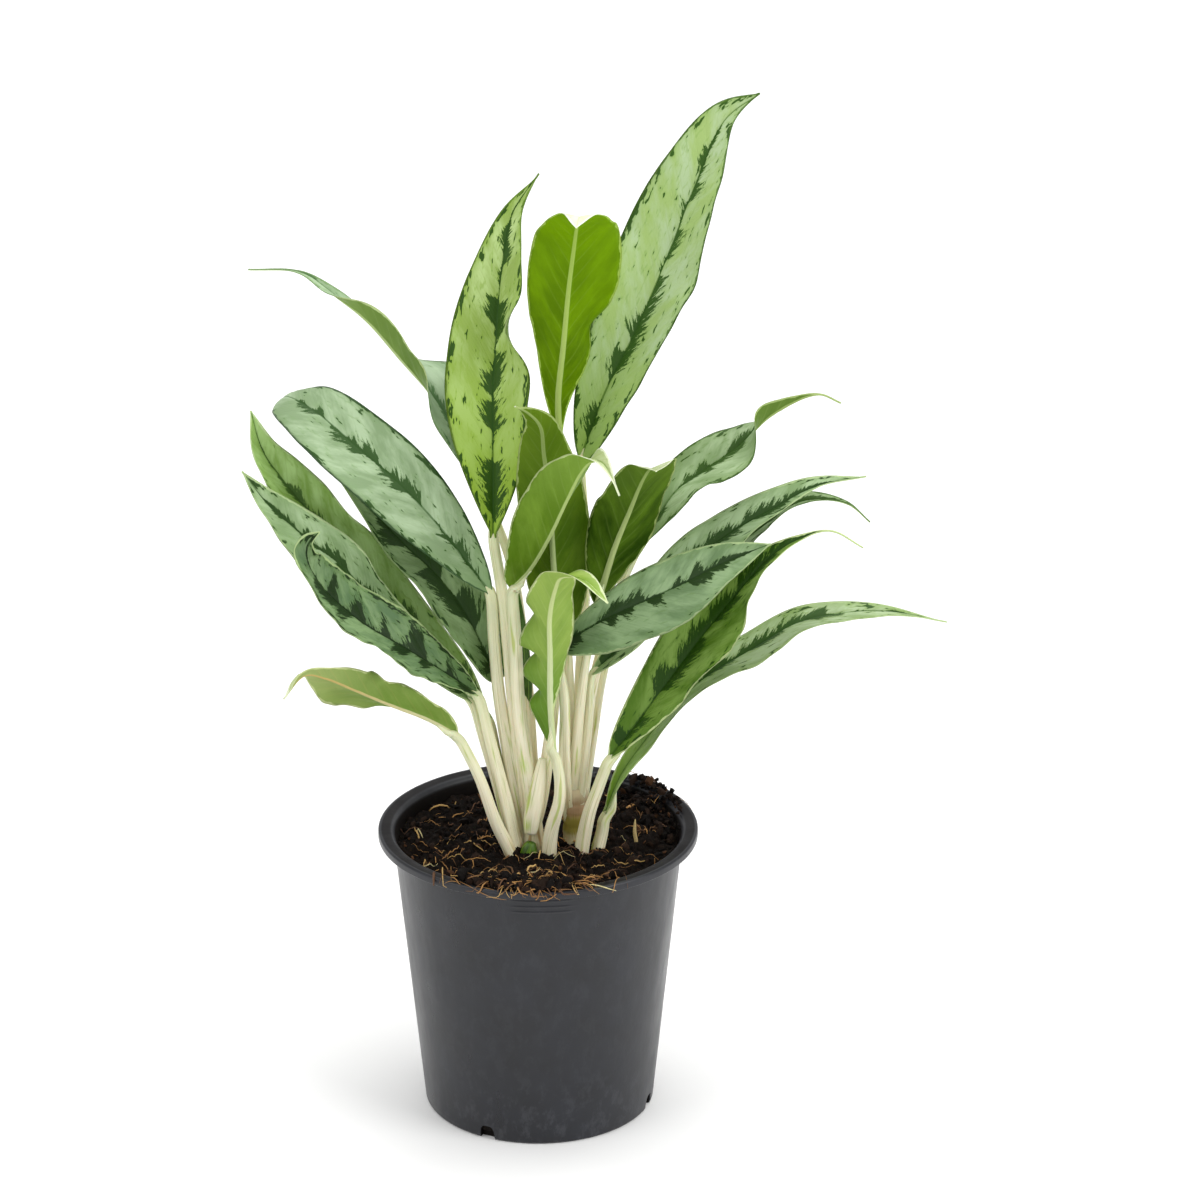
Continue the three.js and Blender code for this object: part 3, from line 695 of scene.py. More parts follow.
class UpperSide(Enum):
    """The upper faces that the plant's leaves show."""

    LIME = UpperFinish(
        "adc482", "8ba454", "1c4200", "8bac2e", 0.8, "7f9f3a", "56741c", "3c6000", 5.8, 0.02, 1.0
    )
    SILVER_LIME = UpperFinish(
        "a7bd90", "98b26b", "234a00", "8fae54", 0.4, "83a256", "42621c", "486e14", 5.8, -0.06, 1.0
    )
    SILVER = UpperFinish(
        "a8be99", "839b73", "2b4c1a", "7e9c6a", 0.2, "7f9c6a", "42603a", "48683a", 4.0, 0.12, 0.8
    )
    SILVER_PALE = UpperFinish(
        "adc3a0", "8fa882", "56784a", "8aa678", 0.3, "8aa678", "6f8c58", "6a8a58", 2.6, 0.0, 0.6
    )
    SILVER_MID = UpperFinish(
        "a3b98f", "809969", "2e4e12", "6d8a50", 0.3, "728f52", "4a6a2a", "547638", 3.0, 0.1, 0.8
    )
    MOTTLED = UpperFinish(
        "90aa7e", "688359", "163204", "5f7c4c", 0.25, "6c8a54", "a4b984", "335220", 4.2, 0.32, 0.45
    )
    MOTTLED_PALE = UpperFinish(
        "a3bb90", "7f996a", "22420e", "7c985e", 0.25, "7b985f", "a8bd88", "486830", 4.2, 0.1, 0.7
    )
    DEEP_SILVER = UpperFinish(
        "7c9668", "54704a", "0c2600", "4a6834", 0.3, "54723a", "a8be84", "2a4818", 8.4, 0.4, 1.0
    )
    SHADED = UpperFinish(
        "88a272", "688152", "1c3808", "52703a", 0.3, "5c7a42", "8ca46c", "385220", 6.4, 0.3, 0.9
    )
    PLAIN = UpperFinish(
        "aaca82", "82a450", "44642a", "8aac48", 0.3, "7ea04a", "b6ca94", "4c6e2c", 3.8, 0.25, 0.5
    )
    DEEP_GREEN = UpperFinish(
        "84a44e", "567a1e", "1e4200", "4c7018", 0.35, "4c7218", "c2d294", "345800", 5.6, 0.12, 0.7
    )
    BRIGHT_BASE = UpperFinish(
        "b0c49a", "8fa774", "2c4e18", "6f9a12", 0.6, "7f9c4a", "a9be86", "5e7e3c", 3.6, 0.1, 0.8, 0.34
    )
    PALE_TIP = UpperFinish(
        "c3cfa2", "a9b87a", "8ca45c", "a2b470", 0.9, "aebd82", "dee4c8", "b8c78e", 2.0, 0.0, 0.2
    )
    CREAM_TIP = UpperFinish(
        "e2e9cc", "cfdab0", "a4b67a", "b2c188", 0.9, "d5dfba", "f0f3e0", "c6d2a4", 2.0, 0.0, 0.2
    )
    LIME_TIP = UpperFinish(
        "a2be58", "86a83c", "6c8c2c", "7e9c3a", 0.6, "b4c97e", "dde7ba", "c4d692", 2.0, 0.0, 0.2
    )


class LowerSide(Enum):
    """The lower faces that the plant's leaves show."""

    BACKLIT = LowerFinish("658900", "4e6e00", "6f9800", "9ab454", "a3bf58", "a8bc6c", 0.75, 0.05)
    ARCH = LowerFinish("6a8a28", "50700e", "84a444", "a3b86c", "bccb8e", "b4c484", 0.62, 0.1)
    PALE = LowerFinish(
        "8aa548", "74923a", "98b256", "bcc988", "c8d498", "ccd6a8", 0.8, low="55801a", low_reach=0.52
    )
    DARK = LowerFinish("567216", "42600a", "688620", "94a864", "a9bb74", "b6c48c", 0.8, 0.06)
    DARK_COOL = LowerFinish("456110", "223c00", "64812c", "8b9f5c", "a9bb74", "aab87c", 0.8, 0.04)
    OLIVE = LowerFinish("748d3e", "63802e", "a4b070", "b8a060", "c2cc90", "ccc898", 0.5)
    TWIST = LowerFinish("647f34", "526e26", "56722a", "8ea25e", "9fb270", "a4b478", 0.5, 0.08)
    MID = LowerFinish("6d893d", "5a772c", "7d994b", "a4b876", "b5c68a", "b4c48c")


# ---- leaves ---------------------------------------------------------------------------------

ROWS_ALONG = 112
RIPPLE_DEGREES = 1.6
QUILT_HEIGHT = 0.14
STEPS_ACROSS = 30
BLADE_THICKNESS = 0.55
KEEL_HEIGHT = 0.8
STALK_ROWS = 72
STALK_SIDES = 20
SHOOT_ROWS = 30
SHOOT_SEED = 31
CANE_SEED = 7
BLADE_SEEDS = 97  # seeds stay small in the materials, where large numbers would blur the noise
STALK_SEEDS = 89
RIB_RUN = 15.0  # how far the stalk runs on under the midrib, in millimetres


def stalk_values(along: Array, share: Array, around: Array, seed: float) -> dict[str, Array]:
    """Name the values that the stalks' material reads.

    Args:
        along: Millimetres along the body, one for each ring.
        share: Shares of the stalk's length, one for each ring, and -1 on the cane.
        around: Millimetres round the body, for each point of a ring or for the whole grid.
        seed: The number that sets the body apart from the others.

    Returns:
        The named values on the grid of rings.
    """
    grid = np.ones((len(along), around.shape[-1]))
    mm = np.stack([along[:, None] * grid, around * grid, seed * grid], -1)
    return {"stalk_mm": mm, "stalk_share": share[:, None] * grid}


@dataclass(frozen=True)
class Cut:
    """How one half of a blade is cut: its half width along the midrib, in millimetres."""

    most: float
    widest: float  # the place of the widest point, as a share of the length
    at_stalk: float  # the power of the curve, low for a full end and high for a slender one
    at_tip: float

    def half_width(self, u: Array) -> Array:
        """Work out half widths: most * sin(pi * u^e)^power, never under a narrow foot.

        The exponent e puts the widest point in its place, and the power runs evenly from
        at_stalk to at_tip.

        Args:
            u: Shares of the blade's length, from the stalk.

        Returns:
            Half widths in millimetres.
        """
        turn = np.pi * np.clip(u, 0.0, 1.0) ** (math.log(0.5) / math.log(self.widest))
        power = self.at_stalk + (self.at_tip - self.at_stalk) * u
        return np.maximum(self.most * np.maximum(np.sin(turn), 0.0) ** power, 0.9 * (1 - u) + 0.35)


@dataclass(frozen=True)
class Leaf:
    """One leaf: its stalk, the midrib of its blade and the blade's cut, in millimetres.

    The stalk is picked in the photograph from the soil up, and the midrib from the stalk to the
    tip. face holds where the upper face looks along the midrib, and girth the stalk's radius
    low and high. cut holds the two halves, left then right looking along the blade, fold the
    angle at the midrib and wave the margin's swing in degrees, its count and its two phases. A
    nip folds one margin up near one place: side, place, length and degrees.
    """

    name: str
    clump: str
    girth: tuple[float, float]
    stalk_picks: tuple[Pick, ...]
    midrib_picks: tuple[Pick, ...]
    face: tuple[Point, ...]
    cut: tuple[Cut, Cut]
    fold: float
    wave: tuple[float, float, float, float]
    upper: UpperSide
    lower: LowerSide = LowerSide.MID
    slot: str = "leaf_silver"
    nips: tuple[tuple[float, float, float, float], ...] = ()

    @property
    def stalk(self) -> tuple[Point, ...]:
        """The stalk's points from the soil up, in millimetres."""
        return CAMERA.places(self.stalk_picks)

    @property
    def spine(self) -> tuple[Point, ...]:
        """The midrib's points from the stalk to the tip, in millimetres."""
        return CAMERA.places(self.midrib_picks)

    @property
    def seed(self) -> int:
        """A number that differs from leaf to leaf, for seeded draws."""
        return sum(ord(letter) * (k + 3) for k, letter in enumerate(self.name)) % 9973

    def fold_angle(self, u: Array, v: Array) -> Array:
        """Work out the angle of each half blade above the flat.

        The fold plus the share across times the margin's wave, the nips and a finer ripple.

        Args:
            u: Share of the blade's length, from the stalk.
            v: Share of the half width, negative on the left.

        Returns:
            Angles in radians.
        """
        swing, count, phase_left, phase_right = self.wave
        phase = np.where(v < 0, phase_left, phase_right)
        out = np.abs(v)
        ends = np.sin(np.pi * u) ** 0.5
        angle = self.fold + out * swing * np.sin(2 * np.pi * count * u + phase) * ends
        for side, place, length, degrees in self.nips:
            bell = np.exp(-(((u - place) / length) ** 2))
            angle = angle + np.where(v * side > 0, out * degrees * bell, 0)
        across = np.stack([u * 90.0, np.sign(v) * 40.0], -1)
        angle = angle + out**2 * RIPPLE_DEGREES * uneven(across, 9.0, self.seed) * ends
        return np.radians(angle)

    def middle(self) -> tuple[Array, Array, Array, Array, Array]:
        """Work out the blade's middle surface.

        A point is the midrib's place, plus the half width times v across it times the fold's
        cosine, plus the half width times |v| up from it times the fold's sine. The tissue
        between two side veins stands a little proud.

        Returns:
            Places as [row, step, xyz], and u, v, millimetres along and half widths as grids.
        """
        u = np.linspace(0.0, 1.0, ROWS_ALONG + 1)
        even = np.linspace(-1.0, 1.0, STEPS_ACROSS + 1)
        v = even * (0.6 + 0.4 * even**2)
        centre, along, walked = Path(self.spine).by_length(u)
        looks = Path(self.face).by_index(u)
        up = unit(looks - (looks * along).sum(1, keepdims=True) * along)
        side = np.cross(along, up)
        u2, v2 = np.meshgrid(u, v, indexing="ij")
        left, right = self.cut
        half = np.where(v2 < 0, left.half_width(u2), right.half_width(u2))
        angle = self.fold_angle(u2, v2)
        out = (half * v2 * np.cos(angle))[..., None] * side[:, None, :]
        lift = (half * np.abs(v2) * np.sin(angle))[..., None] * up[:, None, :]
        root = walked[:, None] - VEIN_LEAN * np.abs(v2) * half
        swell = np.sin(np.pi * np.abs(v2)) * np.sin(np.pi * u2)
        proud = QUILT_HEIGHT * np.cos(2 * np.pi * root * VEINS_PER_MM) * swell
        quilt = proud[..., None] * up[:, None, :]
        return centre[:, None, :] + out + lift + quilt, u2, v2, walked[:, None] + 0 * u2, half

    def blade(self) -> Surface:
        """Give the middle surface its thickness: a ring over the top and back under per row."""
        middle, u, v, walked, half = self.middle()
        normal = unit(np.cross(np.gradient(middle, axis=1), np.gradient(middle, axis=0)))
        body = BLADE_THICKNESS / 2 * np.sqrt(np.clip(1 - v**6, 0, 1)) * (1 - 0.5 * u**3)
        from_rib = np.abs(v) * half
        slender = 1.0 - 0.75 * u
        groove = 0.42 * slender * np.exp(-((from_rib / (0.9 * slender + 0.2)) ** 2))
        keel = KEEL_HEIGHT * slender * np.exp(-((from_rib / (0.95 * slender + 0.15)) ** 2))
        upper = middle + normal * (body - groove)[..., None]
        lower = middle - normal * (body + keel)[..., None]
        rings = np.concatenate([upper, lower[:, -2:0:-1]], axis=1)
        mm = np.stack([walked, v * half, np.full_like(u, self.seed % BLADE_SEEDS)], -1)
        share = np.stack([u, v, half * (1 - np.abs(v))], -1)
        values = {
            "blade_mm": np.concatenate([mm, mm[:, -2:0:-1]], axis=1),
            "blade_share": np.concatenate([share, share[:, -2:0:-1]], axis=1),
        }
        strips = np.repeat([0, 1], STEPS_ACROSS)
        return Surface.from_rings(rings, values, strips)

    def stalk_skin(self, start: Point) -> Surface:
        """Carry the stalk's section from the rootstock to the midrib's underside.

        The section is a circle with a groove on the upper side between two low ridges, wider in
        the sheath near the soil. Past the joint with the blade it sinks by its own radius and
        tapers away under the midrib.

        Args:
            start: Where the stalk starts, inside its rootstock.

        Returns:
            The stalk's skin.
        """
        spine = Path(self.spine)
        spine_length = spine.by_length(np.array([1.0]))[2][0]
        run, _, _ = spine.by_length(np.array([0.0, 0.33, 0.66, 1.0]) * RIB_RUN / spine_length)
        points = [start, *self.stalk, *map(tuple, run)]
        share = np.linspace(0.0, 1.0, STALK_ROWS)
        centre, ahead, walked = Path(tuple(points)).by_length(share)
        past = walked - (walked[-1] - RIB_RUN)
        joint = 1 - RIB_RUN / walked[-1]
        first = unit(np.asarray(self.face[:1], float))
        up = unit(first - (first * ahead).sum(1, keepdims=True) * ahead)
        side = np.cross(ahead, up)
        low, high = self.girth
        radius = low + (high - low) * np.clip(share / joint, 0, 1)
        radius = radius * (1 - 0.82 * smooth_rise(past, -1.5, 0.8 * RIB_RUN))
        sunk = smooth_rise(past, -4.0, 3.0) * (radius + BLADE_THICKNESS / 2)
        centre = centre - sunk[:, None] * up
        turn = full_turn(STALK_SIDES)
        gap = np.abs((turn + np.pi) % (2 * np.pi) - np.pi)
        sheath = (1 - smooth_rise(share, 0.3 * joint, 0.75 * joint))[:, None]
        groove = (0.2 + 0.12 * sheath) * np.exp(-((gap / 0.5) ** 2))
        ridges = 0.14 * sheath * np.exp(-(((gap - 1.0) / 0.3) ** 2))
        section = 1 - groove + ridges + 0.025 * np.cos(7 * turn + self.seed)
        reach = radius[:, None] * (section + 0.05 * sheath * np.sin(gap) ** 2)
        spread = (reach * np.cos(turn))[..., None] * up[:, None, :]
        rings = centre[:, None, :] + spread + (reach * np.sin(turn))[..., None] * side[:, None, :]
        around = radius[:, None] * turn
        values = stalk_values(walked, share / joint, around, self.seed % STALK_SEEDS)
        return Surface.from_rings(rings, values)


LEAVES = (
    Leaf(
        "tall_right", "right", (2.4, 1.6),
        stalk_picks=((576, 812, 5), (580, 680, 9), (585, 560, 13)),
        midrib_picks=(
            (581, 460, 14), (606, 392, 16), (634, 331, 20), (665, 262, 26), (698, 175, 33),
            (724, 122, 38), (760, 92, 40),
        ),
        face=((-0.35, -0.85, 0.3), (-0.35, -0.85, 0.3), (-0.35, -0.85, 0.3), (-0.1, -0.9, 0.4)),
        cut=(Cut(18.5, 0.52, 0.62, 0.9), Cut(16.5, 0.48, 0.45, 1.25)), fold=22, wave=(4.5, 3, 0, 1.5),
        upper=UpperSide.SILVER_LIME,
    ),
    Leaf(
        "bright_centre", "right", (2.4, 1.6),
        stalk_picks=((572, 805, 3), (571, 740, 4), (568, 660, 6), (562, 560, 8)),
        midrib_picks=(
            (562, 455, 8), (559, 400, 7), (563, 346, 4), (570, 290, -2), (575, 248, -10),
            (578, 228, -20), (579, 217, -33), (577, 227, -43),
        ),
        face=((0, 1, 0.1), (0, 1, 0.2), (0, 0.8, 0.6), (0, 0.4, 0.9)),
        cut=(Cut(18, 0.6, 1.1, 0.85), Cut(15.5, 0.6, 0.95, 0.8)), fold=10, wave=(5, 3, 0, 2),
        upper=UpperSide.CREAM_TIP, lower=LowerSide.BACKLIT, slot="leaf_underside",
        nips=((-1, 0.37, 0.06, 30),),
    ),
    Leaf(
        "tall_left", "left", (2.7, 2),
        stalk_picks=((532, 850, -3), (521, 765, -1), (513, 700, 1), (508, 640, 2), (503, 590, 3)),
        midrib_picks=(
            (494, 538, 4), (494, 500, 7), (494, 453, 11), (493, 399, 16), (494, 345, 22),
            (500, 280, 29), (512, 217, 36), (538, 174, 40),
        ),
        face=((-0.1, -0.9, 0.3), (-0.1, -0.9, 0.3), (-0.3, -0.9, 0.3), (0, -0.9, 0.4)),
        cut=(Cut(18, 0.44, 1.15, 1.35), Cut(16, 0.43, 1, 1.25)), fold=20, wave=(6, 2.5, 0, 2.5),
        upper=UpperSide.LIME,
        nips=((1, 0.56, 0.08, 48),),
    ),
    Leaf(
        "far_left", "left", (2.4, 1.6),
        stalk_picks=((535, 848, 2), (529, 730, 6), (524, 650, 8), (511, 560, 12)),
        midrib_picks=(
            (478, 480, 15), (454, 430, 20), (430, 393, 25), (400, 357, 29), (368, 322, 33),
            (336, 295, 36), (300, 271, 39), (249, 269, 42),
        ),
        face=(
            (0.3, -0.8, 0.5), (0.3, -0.7, 0.65), (0.2, 0.4, 0.9), (0, 0.5, 0.85), (0, -0.5, 0.85),
            (0, -0.3, 0.95),
        ),
        cut=(Cut(9.5, 0.38, 0.7, 1.8), Cut(19, 0.2, 0.6, 2.6)), fold=26, wave=(7, 3.4, 1.2, 1.5),
        upper=UpperSide.SILVER_PALE,
    ),
    Leaf(
        "broad_left", "left", (2.7, 2.1),
        stalk_picks=((529, 850, -2), (522, 815, -1), (510, 765, 0), (500, 700, 1), (495, 640, 2)),
        midrib_picks=(
            (491, 592, 2), (470, 564, 5), (437, 523, 9), (399, 482, 14), (358, 447, 19),
            (316, 413, 26), (288, 396, 38), (279, 403, 56),
        ),
        face=(
            (0.1, -0.8, 0.55), (0.1, -0.8, 0.55), (0.1, -0.8, 0.55), (0.1, -0.75, 0.6),
            (0, -0.65, 0.7), (-0.6, 0, 0.7),
        ),
        cut=(Cut(16, 0.5, 0.7, 0.8), Cut(14.2, 0.5, 0.62, 0.8)), fold=9, wave=(5, 2.5, 0, 1.5),
        upper=UpperSide.SILVER,
        nips=((-1, 0.88, 0.13, -22), (1, 0.88, 0.13, -32)),
    ),
    Leaf(
        "mid_left_back", "left", (2.4, 1.8),
        stalk_picks=((520, 850, -2), (512, 815, 0), (497, 760, 3)),
        midrib_picks=(
            (489, 719, 4), (462, 675, 8), (425, 635, 12), (385, 595, 16), (345, 553, 20),
            (310, 513, 24), (280, 478, 28), (262, 450, 31), (250, 411, 34),
        ),
        face=((0.3, -0.7, 0.6), (0.3, -0.7, 0.6), (0.3, -0.7, 0.6)),
        cut=(Cut(14, 0.6, 0.62, 0.9), Cut(12.8, 0.6, 0.62, 0.9)), fold=28, wave=(6, 2.5, 0, 1.5),
        upper=UpperSide.PLAIN, slot="leaf_green",
        nips=((1, 0.63, 0.09, 35),),
    ),
    Leaf(
        "mid_left_front", "left", (2.4, 1.8),
        stalk_picks=((513, 850, -4), (500, 795, -2), (484, 740, -1)),
        midrib_picks=(
            (472, 703, -1), (440, 670, 1), (410, 640, 3), (372, 600, 5), (344, 569, 7),
            (308, 540, 9), (266, 504, 11), (241, 472, 12),
        ),
        face=((0.2, -0.7, 0.7), (0.2, -0.7, 0.7), (0.2, -0.7, 0.7)),
        cut=(Cut(14.5, 0.5, 0.7, 0.95), Cut(10.5, 0.6, 0.9, 0.95)), fold=24, wave=(6, 2.5, 0, 1.5),
        upper=UpperSide.MOTTLED_PALE,
        nips=((1, 0.5, 0.2, 34),),
    ),
    Leaf(
        "low_left", "left", (2.6, 2),
        stalk_picks=((516, 852, -7), (503, 790, -5), (489, 735, -4)),
        midrib_picks=(
            (479, 695, -3), (447, 674, -8), (407, 650, -14), (367, 626, -20), (338, 603, -25),
            (318, 582, -29), (307, 560, -32), (308, 543, -33), (319, 533, -33),
        ),
        face=((0.2, -0.5, 0.85), (0.2, -0.5, 0.85), (0.2, -0.5, 0.85)),
        cut=(Cut(16, 0.5, 0.62, 0.85), Cut(13, 0.5, 0.62, 0.85)), fold=22, wave=(6, 2.5, 0, 1.5),
        upper=UpperSide.DEEP_SILVER, slot="leaf_green",
    ),
    Leaf(
        "bottom_left", "left", (2.3, 1.9),
        stalk_picks=((510, 856, -11), (495, 820, -10), (477, 775, -9)),
        midrib_picks=(
            (457, 733, -8), (425, 718, -14), (390, 703, -20), (355, 690, -26), (325, 678, -32),
            (303, 676, -37), (284, 698, -42),
        ),
        face=(
            (0, 0.8, 0.6), (0, 0.8, 0.6), (0, 0.8, 0.6), (0, 0.8, 0.6), (0, 0.8, 0.6),
            (0, -0.2, 0.9),
        ),
        cut=(Cut(9.5, 0.42, 0.62, 1.2), Cut(11, 0.58, 2.6, 1.3)), fold=25, wave=(10, 3.5, 0, 1.5),
        upper=UpperSide.PALE_TIP, lower=LowerSide.OLIVE, slot="leaf_underside",
        nips=((-1, 0.54, 0.03, 25), (1, 0.62, 0.15, -48)),
    ),
    Leaf(
        "inner_left", "left", (2.4, 1.6),
        stalk_picks=((528, 848, 1), (514, 780, 3), (503, 730, 5)),
        midrib_picks=(
            (497, 683, 6), (484, 650, 9), (462, 607, 13), (434, 573, 17), (405, 545, 20),
            (375, 515, 23), (334, 474, 28),
        ),
        face=((0.3, -0.75, 0.6), (0.3, -0.75, 0.6)),
        cut=(Cut(13, 0.4, 0.62, 1.1), Cut(14, 0.4, 0.62, 1.1)), fold=22, wave=(5, 2.5, 0, 1.5),
        upper=UpperSide.SHADED,
    ),
    Leaf(
        "centre_arch", "left", (2.8, 2.3),
        stalk_picks=(
            (538, 850, -5), (535, 825, -4), (526, 765, -4), (519, 700, -4), (515, 640, -4),
        ),
        midrib_picks=(
            (513, 588, -5), (531, 567, -14), (550, 538, -22), (567, 503, -30), (580, 475, -37),
            (591, 462, -43), (602, 463, -50), (612, 476, -54), (619, 497, -56),
        ),
        face=(
            (-0.6, 0.6, 0.5), (-0.6, 0.6, 0.5), (-0.5, 0.7, 0.5), (-0.4, 0.7, 0.55),
            (-0.35, 0.5, 0.8), (0, -0.8, 0.6),
        ),
        cut=(Cut(15.8, 0.44, 0.36, 1.8), Cut(16, 0.46, 0.62, 1.7)), fold=34, wave=(6, 3, 0, 1.5),
        upper=UpperSide.PALE_TIP, lower=LowerSide.ARCH, slot="leaf_underside",
        nips=((-1, 0.46, 0.13, 26),),
    ),
    Leaf(
        "small_front", "front", (2.7, 1.9),
        stalk_picks=((548, 855, -10), (552, 830, -10), (560, 800, -10), (560, 775, -9)),
        midrib_picks=(
            (553, 750, -9), (550, 705, -14), (549, 656, -20), (550, 618, -26), (555, 590, -32),
            (564, 578, -39), (585, 582, -46), (609, 604, -52),
        ),
        face=((0.6, 0.8, 0.1), (0.1, 1, 0.1), (0, 0.6, 0.8), (0.2, -0.6, 0.75)),
        cut=(Cut(9.5, 0.56, 2.2, 0.8), Cut(12.5, 0.32, 0.62, 0.8)), fold=22, wave=(6, 3.5, 0, 1.5),
        upper=UpperSide.LIME_TIP, lower=LowerSide.PALE, slot="leaf_underside",
        nips=((1, 0.2, 0.035, 40), (1, 0.35, 0.035, 42), (1, 0.51, 0.05, 38)),
    ),
    Leaf(
        "centre_dark", "left", (2.6, 2),
        stalk_picks=((531, 840, -4), (540, 800, -3), (548, 750, -1), (553, 700, 2)),
        midrib_picks=(
            (557, 640, 2), (557, 600, 0), (554, 555, -3), (549, 500, -7), (545, 454, -10),
            (540, 427, -15), (530, 413, -20), (515, 407, -26),
        ),
        face=((0.2, 1, 0.2), (0.2, 1, 0.2), (0, 0.9, 0.4), (-0.2, 0.7, 0.7)),
        cut=(Cut(14.5, 0.4, 0.62, 1), Cut(14.5, 0.4, 0.62, 1)), fold=22, wave=(5, 2.5, 0, 1.5),
        upper=UpperSide.PALE_TIP, lower=LowerSide.DARK, slot="leaf_dark_underside",
    ),
    Leaf(
        "centre_right_dark", "right", (2.2, 1.5),
        stalk_picks=((573, 805, 3), (578, 730, 0), (587, 660, -4)),
        midrib_picks=(
            (598, 605, -3), (607, 570, -5), (616, 545, -8), (629, 510, -13), (641, 482, -20),
            (650, 468, -28), (656, 472, -44),
        ),
        face=((-0.1, 1, 0.2), (-0.1, 0.9, 0.3), (-0.2, 0.5, 0.8), (0, 0.3, 0.9)),
        cut=(Cut(15, 0.55, 0.7, 0.8), Cut(13, 0.5, 0.62, 0.85)), fold=14, wave=(5, 2.5, 0, 1.5),
        upper=UpperSide.PALE_TIP, lower=LowerSide.DARK_COOL, slot="leaf_dark_underside",
    ),
    Leaf(
        "upper_right", "right", (2.2, 1.5),
        stalk_picks=((577, 810, 4), (583, 750, 6), (595, 680, 8), (615, 600, 8)),
        midrib_picks=(
            (640, 545, 8), (672, 495, 12), (700, 474, 16), (737, 447, 20), (765, 420, 24),
            (795, 401, 27), (820, 394, 29), (842, 402, 31),
        ),
        face=(
            (-0.4, -0.6, 0.72), (-0.4, -0.6, 0.72), (-0.4, -0.7, 0.65), (0, 0.8, 0.55),
            (0, 0.9, 0.5),
        ),
        cut=(Cut(10.5, 0.36, 0.62, 2.6), Cut(12.3, 0.4, 0.75, 2.3)), fold=22, wave=(8, 3, 0, 1.5),
        upper=UpperSide.SILVER_MID, lower=LowerSide.TWIST,
    ),
    Leaf(
        "middle_right", "right", (2.2, 1.5),
        stalk_picks=((578, 812, 2), (583, 765, 2), (588, 720, 1)),
        midrib_picks=(
            (592, 674, 0), (618, 646, 1), (650, 605, 3), (689, 563, 6), (730, 534, 9),
            (773, 507, 11), (816, 487, 13), (866, 476, 15),
        ),
        face=((-0.4, -0.6, 0.8), (-0.3, -0.6, 0.8), (-0.2, -0.5, 0.95)),
        cut=(Cut(9.5, 0.5, 0.62, 1.1), Cut(14, 0.42, 0.62, 2.6)), fold=22, wave=(8, 3, 0, 1.5),
        upper=UpperSide.MOTTLED_PALE,
    ),
    Leaf(
        "middle_right_back", "right", (2, 1.3),
        stalk_picks=((581, 815, 4), (586, 780, 6), (594, 730, 9), (602, 680, 12)),
        midrib_picks=(
            (612, 640, 14), (660, 595, 15), (710, 560, 16), (755, 532, 17), (790, 507, 18),
            (820, 498, 18), (848, 505, 18), (869, 521, 18),
        ),
        face=((-0.3, -0.5, 0.8), (-0.2, -0.2, 0.95)),
        cut=(Cut(10, 0.4, 0.62, 1.6), Cut(10, 0.4, 0.62, 2.2)), fold=22, wave=(5, 3, 0, 1.5),
        upper=UpperSide.SILVER_MID,
    ),
    Leaf(
        "low_right", "right", (2.7, 2.1),
        stalk_picks=((580, 858, -8), (590, 815, -7), (600, 785, -6)),
        midrib_picks=(
            (610, 756, -6), (638, 722, -6), (672, 674, -4), (705, 632, -2), (740, 588, 1),
            (769, 560, 3), (798, 539, 5), (830, 532, 6), (864, 547, 7),
        ),
        face=((-0.55, -0.7, 0.55), (-0.4, -0.7, 0.6), (-0.3, -0.3, 0.9), (0, -0.2, 1)),
        cut=(Cut(13, 0.42, 0.7, 3), Cut(18, 0.46, 0.7, 3.4)), fold=20, wave=(6, 3, 0, 1.5),
        upper=UpperSide.DEEP_GREEN, slot="leaf_green",
    ),
    Leaf(
        "front_silver", "right", (2.4, 1.7),
        stalk_picks=((568, 805, 1), (565, 760, -2), (563, 700, -6)),
        midrib_picks=(
            (556, 648, -7), (590, 626, -11), (627, 609, -19), (675, 588, -26), (721, 564, -33),
            (750, 551, -37), (771, 544, -40),
        ),
        face=((-0.2, -0.85, 0.6), (-0.2, -0.85, 0.6), (-0.2, -0.85, 0.6)),
        cut=(Cut(11, 0.52, 0.7, 0.9), Cut(16, 0.45, 0.62, 0.95)), fold=12, wave=(4, 2.5, 0, 1.5),
        upper=UpperSide.MOTTLED,
    ),
    Leaf(
        "lowest_right", "right", (2.7, 2.3),
        stalk_picks=((598, 855, -4), (602, 830, -2)),
        midrib_picks=(
            (606, 812, -1), (622, 775, 0), (645, 740, 2), (675, 706, 5), (710, 674, 9),
            (750, 650, 13), (795, 625, 17), (840, 613, 20), (890, 611, 22), (948, 622, 24),
        ),
        face=((-0.6, -0.4, 0.7), (-0.4, -0.3, 0.85), (-0.1, -0.35, 0.95), (0, -0.25, 1)),
        cut=(Cut(7.5, 0.5, 0.62, 1.3), Cut(13.6, 0.5, 0.62, 1.3)), fold=20, wave=(6, 3, 0, 1.5),
        upper=UpperSide.BRIGHT_BASE,
    ),
)


@dataclass
class Foliage:
    """All the blades, each in the finishes of its own leaf."""

    leaves: tuple[Leaf, ...]

    def __post_init__(self) -> None:
        """Make each finish that a leaf uses once."""
        marks = blade_marks()
        uppers = {leaf.upper for leaf in self.leaves}
        lowers = {leaf.lower for leaf in self.leaves}
        self.upper = {
            side: side.value.material("blade_upper_" + side.name.lower(), marks)
            for side in sorted(uppers, key=lambda s: s.name)
        }
        self.lower = {
            side: side.value.material("blade_lower_" + side.name.lower(), marks)
            for side in sorted(lowers, key=lambda s: s.name)
        }

    def build(self) -> None:
        """Build every blade in place of its solid."""
        for leaf in self.leaves:
            finishes = [self.upper[leaf.upper], self.lower[leaf.lower]]
            piece = leaf.blade().as_object("blade_" + leaf.name, finishes)
            settle(piece, leaf.slot, "leaf_" + leaf.name)
            LOG.info("blade %s: %d faces", leaf.name, len(piece.data.polygons))


